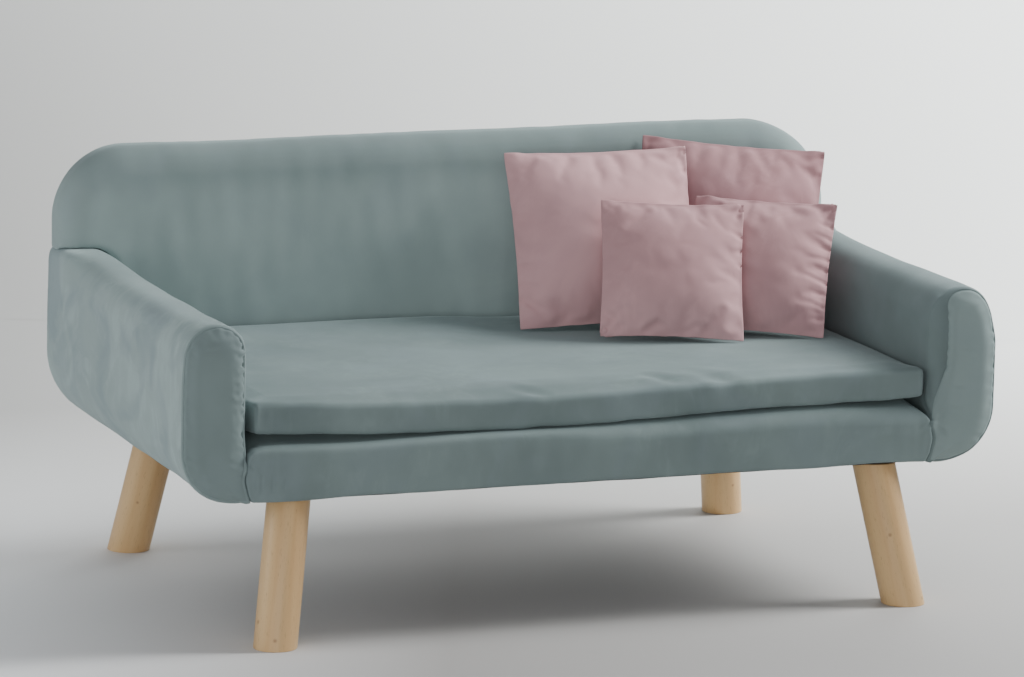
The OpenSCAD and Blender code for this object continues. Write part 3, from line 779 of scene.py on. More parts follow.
@dataclass
class Slab:
    """A boxy cushion form: rings of a rectangle up its sides, and a grid over its top and its foot.

    Each step of the profile is the inset along X, the inset along Y, and the height.
    """

    xs: np.ndarray
    ys: np.ndarray
    profile: Sequence[tuple[float, float, float]]
    corner: float

    def build(self, name: str) -> Skin:
        """Makes the skin.

        Args:
            name: The piece's name.

        Returns:
            The closed skin.
        """
        nx, ny = len(self.xs) - 1, len(self.ys) - 1
        loop = [(i, 0) for i in range(nx)] + [(nx, j) for j in range(ny)]
        loop += [(i, ny) for i in range(nx, 0, -1)] + [(0, j) for j in range(ny, 0, -1)]
        number = {cell: k for k, cell in enumerate(loop)}
        rings = [self._ring(loop, *stage) for stage in self.profile]
        points, faces = loft(rings, closed_ends=False)
        for first, up in ((0, False), (len(points) - len(loop), True)):
            inset_x, inset_y, height = self.profile[-1 if up else 0]
            inner = {}
            extra = []
            for i in range(1, nx):
                for j in range(1, ny):
                    inner[(i, j)] = len(points) + len(extra)
                    extra.append((*self._inset(self.xs[i], self.ys[j], inset_x, inset_y), height))
            points = np.vstack([points, np.array(extra)])

            def at(i: int, j: int) -> int:
                """Returns the number of a grid point."""
                return inner[(i, j)] if (i, j) in inner else first + number[(i, j)]

            for i in range(nx):
                for j in range(ny):
                    face = (at(i, j), at(i + 1, j), at(i + 1, j + 1), at(i, j + 1))
                    faces.append(face if up else face[::-1])
        return Skin(name, points, faces)

    def _inset(self, x: float, y: float, inset_x: float, inset_y: float) -> tuple[float, float]:
        """Draws a point in towards the middle, in proportion to its place.

        Args:
            x: The point's X.
            y: The point's Y.
            inset_x: How far the slab's side is drawn in along X.
            inset_y: How far it is drawn in along Y.

        Returns:
            The new X and Y.
        """
        x0, x1, y0, y1 = self.xs[0], self.xs[-1], self.ys[0], self.ys[-1]
        cx, cy, hx, hy = (x0 + x1) / 2, (y0 + y1) / 2, (x1 - x0) / 2, (y1 - y0) / 2
        return cx + (x - cx) * (hx - inset_x) / hx, cy + (y - cy) * (hy - inset_y) / hy

    def _ring(
        self, loop: Sequence[tuple[int, int]], inset_x: float, inset_y: float, height: float
    ) -> np.ndarray:
        """Makes one ring with rounded upright corners.

        Args:
            loop: The grid's rim, as column and row numbers.
            inset_x: How far the ring is drawn in along X.
            inset_y: How far it is drawn in along Y.
            height: Its height.

        Returns:
            The ring's points.
        """
        flat = np.array([self._inset(self.xs[i], self.ys[j], inset_x, inset_y) for i, j in loop])
        low, high = flat.min(0), flat.max(0)
        core = np.clip(flat, low + self.corner, high - self.corner)
        off = flat - core
        size = np.linalg.norm(off, axis=1)
        reach = np.abs(off).max(1)
        curved = (np.abs(off) > TINY).all(1)
        flat[curved] = core[curved] + off[curved] / size[curved][:, None] * reach[curved][:, None]
        return np.column_stack([flat, np.full(len(flat), height)])


def quarter(steps: int, across: float, up: float) -> list[tuple[float, float]]:
    """Points of a quarter round, from its foot on the side to its top.

    Args:
        steps: How many pieces it has.
        across: Its reach inwards.
        up: Its height.

    Returns:
        Pairs of inset and of how far the point lies below the top.
    """
    angles = np.linspace(0.0, np.pi / 2, steps + 1)
    return [(across * (1.0 - math.cos(a)), up * (1.0 - math.sin(a))) for a in angles]


def upright(flat: np.ndarray, y: float, mirrored: bool = False) -> np.ndarray:
    """Sets a section on an upright plane across the sofa.

    Args:
        flat: The section's X and Z.
        y: Where the plane lies.
        mirrored: Whether the section is turned over to the left side.

    Returns:
        The section's points.
    """
    x = -flat[:, 0] if mirrored else flat[:, 0]
    return np.column_stack([x, np.full(len(flat), y), flat[:, 1]])


def seam_bow(y: np.ndarray, z: np.ndarray) -> np.ndarray:
    """Gives how far the front seam between the base and an arm bows outwards below the pinch.

    Args:
        y: Places from front to rear.
        z: Heights along the seam.

    Returns:
        The shift away from the sofa's middle, below zero at the foot.
    """
    bow = 0.0036 * np.exp(-(((z - 0.193) / 0.011) ** 2)) - 0.0035 * (1 - step(0.164, 0.179, z))
    return bow * step(-0.235, -0.258, y)


def sag(x: np.ndarray) -> np.ndarray:
    """Gives how far the seat's front edge hangs down under the mattress.

    Args:
        x: Places across the sofa.

    Returns:
        The drop in metres.
    """
    deepest_x = -0.06
    reach = np.where(x < deepest_x, 0.27, 0.19)
    return 0.0082 * np.exp(-(((x - deepest_x) / reach) ** 2))


# The sofa's sub-assemblies, with sizes in metres


@dataclass
class Arm:
    """One padded arm: a wrap panel, and an end panel front and rear, each set in a seam."""

    left: bool
    finish_used: Finish
    inner_x: float = ARM_INNER_X
    side_x: float = BODY_X
    foot_z: float = UNDERSIDE_Z
    front_y: float = -BODY_Y
    rear_y: float = BODY_Y
    top_z: float = ARM_TOP_Z
    turn_front: float = 0.0625
    turn_rear: float = 0.082
    turn_more_left: float = 0.009
    turn_steps: int = 40
    side_steps: int = 32
    arch_steps: int = 48
    inner_steps: int = 60
    rise: float = 0.009
    square_from: float = 0.145
    square_to: float = 0.205
    squareness: float = 0.68
    full_left: float = 0.0025
    full_right: float = 0.0085
    hang_right: float = 0.0025
    seam_in: float = 0.0036
    seam_depth: float = 0.0006
    seam_shift: float = 0.0175
    crown: float = 0.006
    panel_middle: float = 0.0381
    panel_edge: float = 0.0052
    panel_steps: int = 20
    inner_across: float = 0.015
    inner_deep: float = 0.01
    end_band: float = 0.03
    roll_deep: float = 0.0062
    roll_steps: int = 8
    pinch_z: float = 0.213
    fine: float = 0.0018
    coarse: float = 0.0034
    fine_band: float = 0.024
    joint: float = 0.0016
    uneven: float = 0.0006
    gather_face: float = 0.0006
    gather_wrap: float = 0.0004
    gather_wave: float = 0.0115
    fill: float = 0.95

    def section(self, inset: float, y: float) -> np.ndarray:
        """Gives the right arm's section: fuller in front, square in the shoulder beside the backrest.

        Args:
            inset: How far it is drawn in.
            y: Where along the arm it lies.

        Returns:
            Its X and Z, anticlockwise from the inner foot.
        """
        along = (y - self.front_y) / (self.rear_y - self.front_y)
        turn_r = self.turn_front + (self.turn_rear - self.turn_front) * along
        if self.left:
            turn_r += self.turn_more_left * step(0.0, 0.12, along)
        arch_r = (self.side_x - self.inner_x) / 2
        arch_x, arch_z = self.side_x - arch_r, self.top_z - arch_r
        turn_x, turn_z = self.side_x - turn_r, self.foot_z + turn_r
        reach = turn_r - inset
        first = -math.acos(max(-1.0, min(1.0, (self.inner_x + inset - turn_x) / reach)))
        angles = np.linspace(first, 0, self.turn_steps + 1)
        turn = [(turn_x + reach * math.cos(a), turn_z + reach * math.sin(a)) for a in angles]
        side = [(self.side_x - inset, z) for z in np.linspace(turn_z, arch_z, self.side_steps + 1)[1:]]
        power = 1.0 - self.squareness * step(self.square_from, self.square_to, y)
        arch = []
        for a in np.linspace(0, math.pi, self.arch_steps + 1)[1:]:
            c, s = math.cos(a), math.sin(a)
            square = power if c > 0 else 1.0
            across = math.copysign(abs(c) ** square, c)
            arch.append((arch_x + (arch_r - inset) * across, arch_z + (arch_r - inset) * abs(s) ** square))
        heights = np.linspace(arch_z, turn[0][1], self.inner_steps + 1)[1:-1]
        flat = np.array(turn + side + arch + [(self.inner_x + inset, z) for z in heights])
        return flat + self._fullness(flat, along)

    def _fullness(self, flat: np.ndarray, along: float) -> np.ndarray:
        """Gives how far the padding swells out of the plain section.

        Args:
            flat: The section's points.
            along: How far along the arm it lies, from 0 in front to 1 behind.

        Returns:
            The shift of each point.
        """
        x, z = flat.T
        front = 1.0 - 0.6 * along
        full, hang = (self.full_left, 0.0) if self.left else (self.full_right, self.hang_right)
        side = full * front * step(0.442, 0.475, x) * (1 - step(0.3, 0.352, z))
        down = hang * np.exp(-(((x - 0.445) / 0.026) ** 2)) * (z < 0.2) * front
        lifted = self.rise * step(0.5, 0.92, along) * step(0.33, self.top_z, z)
        return np.column_stack([side, lifted - down])

    def profile(self) -> list[tuple[float, float]]:
        """Gives the profile of an end panel, from its middle over its seam to the wrap.

        Returns:
            Pairs of inset and distance behind the front plane.
        """
        c, d, s = self.crown, self.seam_depth, self.seam_in
        insets = np.linspace(self.panel_middle, self.panel_edge, self.panel_steps + 1)
        face = [(i, c * (1.0 - step(0.0, 0.026, i)) ** 1.6) for i in insets]
        seam = [(s + 0.0012, c * 0.95), (s + 0.0005, c + 0.4 * d), (s, c + d)]
        angles = np.linspace(0.12, np.pi / 2, self.roll_steps + 1)
        edge = [(s * (1 - math.sin(a)), c + 0.5 * d + self.roll_deep * (1 - math.cos(a))) for a in angles]
        return face + seam + edge

    def ring(self, inset: float, y: float) -> np.ndarray:
        """Gives one ring of the right arm's skin, rounded towards the seat in front.

        Args:
            inset: How far it is drawn in.
            y: Where along the arm it lies.

        Returns:
            The ring's points.
        """
        flat = self.section(inset, y)
        if y < 0 and not self.left:
            flat[:, 0] += self._set_in(flat, inset)
        x, z = flat.T
        depth = np.full(len(flat), y)
        if y < self.front_y + self.end_band:
            low = 1 - step(self.pinch_z - 0.01, self.pinch_z + 0.004, z)
            beside_base = low * (x < self.inner_x + inset + 0.006)
            depth = self.front_y + (y - self.front_y) * (1 - 0.75 * beside_base)
            t = np.clip((x - self.inner_x) / self.inner_across, 0.0, 1.0)
            above = step(self.pinch_z + 0.004, self.pinch_z + 0.034, z) * (1 - step(0.34, 0.366, z))
            fade = 1 - (y - self.front_y) / self.end_band
            depth += self.inner_deep * (1 - np.sqrt(1 - (1 - t) ** 2)) * above * fade
        x = x + seam_bow(depth, z) * (1 - step(0.43, 0.46, x))
        return np.column_stack([x, depth, z])

    def build(self) -> Skin:
        """Builds and dresses the arm.

        Returns:
            The finished skin.
        """
        ends = self.profile()
        start = ends[-1][1] + self.joint
        wrap = spaced(self.front_y + start, self.rear_y - start, self.fine, self.coarse, self.fine_band)
        stages = [(i, self.front_y + d) for i, d in ends] + [(0.0, y) for y in wrap]
        stages += [(i, self.rear_y - d) for i, d in ends[::-1]]
        rings = [self.ring(inset, y) for inset, y in stages]
        points, faces = loft(rings)
        if self.left:
            points[:, 0] *= -1
        side = "left" if self.left else "right"
        skin = Skin(f"{side}_arm_upholstery", points, faces)
        skin.outward()
        insets = np.repeat([inset for inset, _ in stages], len(rings[0]))
        self._relief(skin, insets)
        skin.fold(self.folds())
        self._keep_strokes_and_painted_light(skin, insets)
        nodes = [f"{side}_arm_cover", f"{side}_arm_foam"]
        skin.finish(self.finish_used, "sage_velvet", "sofa", nodes, self.fill)
        return skin

    def _set_in(self, flat: np.ndarray, inset: float) -> np.ndarray:
        """Gives how far the right arm's front seam stands back from the arm's inner edge.

        Args:
            flat: A ring's points.
            inset: How far the ring is drawn in.

        Returns:
            The shift of each point away from the sofa's middle.
        """
        x, z = flat[:, 0] - inset, flat[:, 1]
        height = step(0.222, 0.29, z) * (1 - 0.45 * step(0.33, self.top_z, z))
        reach = min(inset / self.seam_in, 1.0) * math.exp(-max(inset - self.seam_in, 0.0) / 0.02)
        return self.seam_shift * height * reach * np.exp(-np.clip(x - self.inner_x, 0, 1) / 0.022)

    def _relief(self, skin: Skin, insets: np.ndarray) -> None:
        """Adds the foam's unevenness and the gathers along the seams, but none against the base.

        Args:
            skin: The arm's skin.
            insets: How far each point's ring is drawn in.
        """
        places = skin.points
        x, y, z = np.abs(places[:, 0]), places[:, 1], places[:, 2]
        end_gap = np.minimum(y - self.front_y, self.rear_y - y)
        seed = 3 if self.left else 8
        lift = self.uneven * undulation(places, 0.12, seed) * step(0.004, 0.05, end_gap) - 0.0003
        gather = undulation(places, self.gather_wave, seed + 1, (1.0, 0.2, 1.0))
        inner_side = 1.0 + 1.3 * (1 - step(0.43, 0.45, x)) * step(self.pinch_z, self.pinch_z + 0.03, z)
        on_face = np.exp(-np.clip(insets - self.seam_in - 0.001, 0, 1) / 0.008) * (insets > self.seam_in)
        on_wrap = insets < 0.0002
        near_end = np.exp(-np.clip(end_gap - 0.006, 0, 1) / 0.009) * on_wrap
        lift += (self.gather_face * on_face + self.gather_wrap * near_end) * gather * inner_side
        against_base = step(0.4265, 0.4235, x) * step(0.246, 0.236, z) * on_wrap
        skin.push(lift * (1 - against_base))

    def _keep_strokes_and_painted_light(self, skin: Skin, insets: np.ndarray) -> None:
        """Keeps the strokes of the hand on the outer side, and the painted light and shade on the end panels,
        the top and the outer side.

        Args:
            skin: The arm's skin.
            insets: How far each point's ring is drawn in.
        """
        outer = step(0.462, 0.496, np.abs(skin.points[:, 0])) * (insets < 0.001)
        skin.keep("brushed", outer * (1.0 if self.left else 0.5))
        # Painted light and shade: the left arm's outer side lighter and its end panels darker, the right arm
        # darker apart from its end panels and lower outer side
        face = (insets > self.seam_in) * 1.0
        if self.left:
            skin.keep("nap", PAINTED_SHADE_ARM_FACE * face + PAINTED_LIGHT_LEFT_SIDE * outer)
        else:
            low_outer = outer * (1 - step(self.top_z - 0.06, self.top_z - 0.01, skin.points[:, 2]))
            skin.keep("nap", PAINTED_SHADE_RIGHT_ARM * (1 - face) * (1 - low_outer) + PAINTED_LIGHT_RIGHT_FACE * face)

    def folds(self) -> list[Fold]:
        """Gives the creases that the picture shows on this arm.

        Returns:
            The folds, in their places on this arm.
        """
        y = self.front_y
        if self.left:
            # Height, reach, rise and depth of each pucker along the inner seam
            puckers = (
                (0.224, 0.017, 0.003, 0.0018), (0.2365, 0.01, 0.004, 0.001), (0.254, 0.018, 0.01, 0.0019),
                (0.2625, 0.009, 0.006, 0.0009), (0.2815, 0.019, 0.013, 0.002), (0.303, 0.012, 0.008, 0.0013),
                (0.3135, 0.008, 0.006, 0.001),
            )
            return [
                on_plane(y, ((-0.4235, 0.213), (-0.434, 0.2125), (-0.45, 0.214)), 0.0016, 0.0025),
                on_plane(y, ((-0.424, 0.212), (-0.4285, 0.2035), (-0.43, 0.194)), 0.002, 0.0024),
                *(
                    on_plane(y, ((-0.4235, z), (-0.4235 - reach, z + up)), depth, 0.0026)
                    for z, reach, up, depth in puckers
                ),
                on_plane(y, ((-0.488, 0.35), (-0.47, 0.3475), (-0.452, 0.35)), 0.0006, 0.003, Taper.BOTH),
                Fold(
                    ((-0.497, 0.235, 0.352), (-0.475, 0.222, 0.372), (-0.452, 0.206, 0.374)),
                    0.0014, 0.0028,
                ),
                Fold(((-0.5, 0.225, 0.338), (-0.488, 0.216, 0.362)), 0.0012, 0.0026),
            ]
        x = self.inner_x
        return [
            on_plane(y, ((0.4235, 0.213), (0.433, 0.232), (0.436, 0.247)), 0.0026, 0.0026),
            on_plane(y, ((0.4235, 0.213), (0.44, 0.222)), 0.0022, 0.0025),
            on_plane(y, ((0.4235, 0.212), (0.441, 0.2075)), 0.002, 0.0025),
            on_plane(y, ((0.4235, 0.211), (0.445, 0.196)), 0.0022, 0.0025),
            Fold(((x, y, 0.216), (x, y + 0.02, 0.232), (x, y + 0.03, 0.25)), 0.0026, 0.0034, Taper.END),
            Fold(((x, y, 0.216), (x, y + 0.028, 0.223), (x, y + 0.05, 0.232)), 0.0024, 0.0034, Taper.END),
            Fold(((x, y, 0.22), (x, y + 0.012, 0.245), (x, y + 0.013, 0.27)), 0.002, 0.0032, Taper.END),
            on_plane(y, ((0.447, 0.2515), (0.466, 0.2505)), 0.0006, 0.0018, Taper.BOTH),
            on_plane(y, ((0.448, 0.2275), (0.463, 0.227)), 0.0006, 0.0018, Taper.BOTH),
            on_plane(y, ((0.456, 0.296), (0.482, 0.294)), 0.0004, 0.0018, Taper.BOTH),
        ]


@dataclass
class Backrest:
    """The tall padded backrest, notched over the arms' rear ends."""

    finish_used: Finish
    half_w: float = 0.498
    foot_z: float = SEAT_Z + PLAY
    top_z: float = BACK_Z
    front_y: float = 0.205
    rear_y: float = BODY_Y
    corner_left: float = 0.088
    corner_right: float = 0.107
    corner_steps: int = 32
    front_across: float = 0.036
    front_deep: float = 0.026
    front_steps: int = 14
    rear_r: float = 0.018
    rear_steps: int = 8
    notch_from: float = 0.19
    notch_to: float = 0.28
    voxel: float = 0.0031
    fill: float = 0.95

    def outline(self, inset: float) -> np.ndarray:
        """Gives the outline as X and Z.

        Args:
            inset: How far it is drawn in at the top and the sides.

        Returns:
            The outline, anticlockwise from the foot's right end.
        """
        x, top, foot = self.half_w - inset, self.top_z - inset, self.foot_z
        r, q = (max(c - inset, 0.002) for c in (self.corner_right, self.corner_left))
        turn = np.linspace(0, math.pi / 2, self.corner_steps + 1)[1:]
        right = [(x, z) for z in np.linspace(foot, top - r, 12)]
        arc_right = [(x - r + r * math.cos(a), top - r + r * math.sin(a)) for a in turn]
        top_line = [(t, top) for t in np.linspace(x - r, q - x, 40)[1:]]
        arc_left = [(q - x - q * math.sin(a), top - q + q * math.cos(a)) for a in turn]
        left = [(-x, z) for z in np.linspace(top - q, foot, 12)[1:]]
        base = [(t, foot) for t in np.linspace(-x, x, 60)[1:-1]]
        return np.array(right + arc_right + top_line + arc_left + left + base)

    def build(self) -> Skin:
        """Builds and dresses the backrest.

        Returns:
            The finished skin.
        """
        front = quarter(self.front_steps, self.front_across, self.front_deep)
        rear = quarter(self.rear_steps, self.rear_r, self.rear_r)
        stages = [(i, self.front_y + d) for i, d in front[::-1]]
        stages += [(i, self.rear_y - d) for i, d in rear]
        points, faces = loft([upright(self.outline(inset), y) for inset, y in stages])
        skin = Skin("backrest_upholstery", points, faces)
        skin.outward()
        for left in (False, True):
            self._notch(skin, left)
        skin.apply("REMESH", mode="VOXEL", voxel_size=self.voxel)
        skin.apply("SMOOTH", factor=0.5, iterations=3)
        self._relief(skin)
        skin.keep("brushed", BRUSHED_BACK)
        # Painted light and shade: the backrest painted lighter, with painted shade along its top and painted
        # light low down by the seat
        height = skin.points[:, 2]
        nap = PAINTED_LIGHT_BACK + PAINTED_SHADE_BACK_TOP * step(0.43, 0.49, height) + PAINTED_LIGHT_BACK_FOOT * step(0.37, 0.3, height)
        skin.keep("nap", nap)
        skin.finish(self.finish_used, "sage_velvet", "sofa", ["back_cover", "back_foam"], self.fill)
        return skin

    def _notch(self, skin: Skin, left: bool) -> None:
        """Cuts the room for an arm's rear end out of a lower corner.

        Args:
            skin: The backrest's skin.
            left: Whether it is the left arm.
        """
        arm = Arm(left, self.finish_used)
        places = np.linspace(self.notch_from, self.notch_to, 10)
        cutter = Skin("notch_cutter", *loft([upright(arm.section(0.0, y), y, left) for y in places]))
        cutter.outward()
        skin.apply("BOOLEAN", operation="DIFFERENCE", object=cutter.piece, solver="EXACT")
        bpy.data.objects.remove(cutter.piece)

    def _relief(self, skin: Skin) -> None:
        """Adds the padding's unevenness, and the creases over the left arm.

        Args:
            skin: The backrest's skin.
        """
        places = skin.points
        lift = 0.0008 * undulation(places, 0.22, 21)
        lift += 0.0002 * undulation(places, 0.04, 22, (1.0, 1.0, 0.4))
        skin.push(lift)
        skin.fold([
            Fold(((-0.478, 0.21, 0.378), (-0.462, 0.207, 0.372)), -0.0012, 0.0025),
            Fold(((-0.47, 0.207, 0.38), (-0.456, 0.206, 0.37)), 0.0012, 0.0022),
            Fold(((-0.488, 0.218, 0.376), (-0.474, 0.21, 0.372)), 0.0014, 0.0022),
        ])


@dataclass
class Base:
    """The low upholstered base between the arms."""

    finish_used: Finish
    half_w: float = ARM_INNER_X - PLAY
    half_d: float = 0.2598
    foot_z: float = UNDERSIDE_Z
    top_z: float = SEAT_Z
    front_y: float = -BODY_Y
    edge_across: float = 0.034
    edge_front: float = 0.024
    edge_up: float = 0.023
    edge_steps: int = 9
    foot_r: float = 0.004
    recess: float = 0.0022
    rim: float = 0.0056
    corner: float = 0.0025
    squared: float = 0.66
    squared_rear: float = 0.9
    fine: float = 0.0022
    coarse: float = 0.0052
    fine_band: float = 0.055
    rows: int = 92
    wall_steps: int = 18
    drop_left: float = 0.0075
    drop_right: float = 0.005
    foot_wave: float = 0.0014
    fill: float = 0.9

    def build(self) -> Skin:
        """Builds and dresses the base.

        Returns:
            The finished skin.
        """
        xs = spaced(-self.half_w, self.half_w, self.fine, self.coarse, self.fine_band)
        ys = np.linspace(-self.half_d, self.half_d, self.rows)
        inner, low = self.rim + 0.001, self.foot_z + self.foot_r + 0.0015
        foot = [(inner, inner, self.foot_z + self.recess), (self.rim, self.rim, self.foot_z + 0.0007)]
        foot += [(i, i, self.foot_z + d) for i, d in quarter(3, self.foot_r, self.foot_r)][::-1]
        high = self.top_z - self.edge_up - 0.0015
        walls = [(0.0, 0.0, z) for z in np.linspace(low, high, self.wall_steps)]
        sides = quarter(self.edge_steps, self.edge_across, self.edge_up)
        fronts = quarter(self.edge_steps, self.edge_front, self.edge_up)
        top = [(a, b, self.top_z - d) for (a, _), (b, d) in zip(sides, fronts)]
        skin = Slab(xs, ys, foot + walls + top, self.corner).build("base_upholstery")
        skin.outward()
        skin.points = self._settled(skin.points)
        self._relief(skin)
        skin.fold(self.folds())
        skin.keep("brushed", BRUSHED_BASE)
        # Painted shade over the whole base
        skin.keep("nap", PAINTED_SHADE_BASE)
        nodes = ["base_cover", "seat_foam", "rear_foam"]
        skin.finish(self.finish_used, "sage_velvet", "sofa", nodes, self.fill)
        return skin

    def _settled(self, places: np.ndarray) -> np.ndarray:
        """Lets the front edge hang and waver, and bows its ends towards the arms.

        Args:
            places: The base's points, which are moved.

        Returns:
            The same points.
        """
        x, y, z = places.T
        in_front = 1 - step(-0.25, -0.2, y)
        self._square(places)
        end_gap = self.drop_left * step(-0.1, -0.34, x) + self.drop_right * step(0.28, 0.4, x)
        z -= (sag(x) + end_gap) * in_front * step(0.19, 0.23, z)
        wave = self.foot_wave * undulation(places, 0.17, 34, (1.0, 0.2, 0.0)) * in_front
        z += wave * (1 - step(self.foot_z, 0.2, z))
        x += np.sign(x) * seam_bow(y, z) * step(0.405, self.half_w, np.abs(x))
        return places

    def _relief(self, skin: Skin) -> None:
        """Adds the foam's unevenness and the gathers at the ends, but none against the arms.

        Args:
            skin: The base's skin.
        """
        places = skin.points
        x, _, z = places.T
        bulge = np.sin(np.pi * np.clip((z - self.foot_z) / (self.top_z - self.foot_z), 0, 1))
        lift = 0.0004 * undulation(places, 0.12, 31) - 0.0007
        lift += 0.0004 * undulation(places, 0.035, 32, (1.0, 1.0, 0.3)) * bulge * (z < 0.225)
        near_end = np.exp(-(self.half_w - np.abs(x)) / 0.03)
        lift += 0.0006 * undulation(places, 0.013, 33, (1.0, 1.0, 0.15)) * near_end * bulge
        against_arm = step(0.419, 0.4225, np.abs(x))
        skin.push(lift * (1 - against_arm))

    def _square(self, places: np.ndarray) -> None:
        """Makes the edge's round tighter in front on the left, and on the sides under the backrest.

        Args:
            places: The base's points, which are moved.
        """
        x, y, z = places.T.copy()
        rise = np.clip((z - self.top_z + self.edge_up) / self.edge_up, 0.0, 1.0)
        in_front = np.clip(1.0 - (y + self.half_d) / self.edge_front, 0.0, 1.0)
        on_side = np.clip(1.0 - (self.half_w - np.abs(x)) / self.edge_across, 0.0, 1.0)
        tight_front = 1.0 - self.squared * step(0.12, -0.1, x)
        tight_side = 1.0 - self.squared_rear * step(0.13, 0.18, y)
        front = (rise > 0.0) & (in_front > 0.0)
        side = (rise > 0.0) & (on_side > 0.0) & (y > 0.0)
        places[front, 1] -= (self.edge_front * (in_front**tight_front - in_front))[front]
        places[front, 2] += (self.edge_up * (rise**tight_front - rise))[front]
        places[side, 0] += (np.sign(x) * self.edge_across * (on_side**tight_side - on_side))[side]
        places[side, 2] += (self.edge_up * (rise**tight_side - rise))[side]

    def folds(self) -> list[Fold]:
        """Gives the creases beside the arms.

        Returns:
            The folds.
        """
        y = self.front_y
        return [
            on_plane(y, ((-0.4076, 0.2), (-0.4073, 0.176)), 0.0016, 0.0024, Taper.BOTH),
            on_plane(y, ((-0.3945, 0.199), (-0.3942, 0.176)), 0.0013, 0.0024, Taper.BOTH),
            on_plane(y, ((-0.38, 0.193), (-0.3798, 0.178)), 0.0011, 0.0024, Taper.BOTH),
            on_plane(y, ((-0.4225, 0.211), (-0.412, 0.2)), 0.0018, 0.0024),
            on_plane(y, ((0.4225, 0.212), (0.41, 0.203)), 0.0018, 0.0024),
        ]


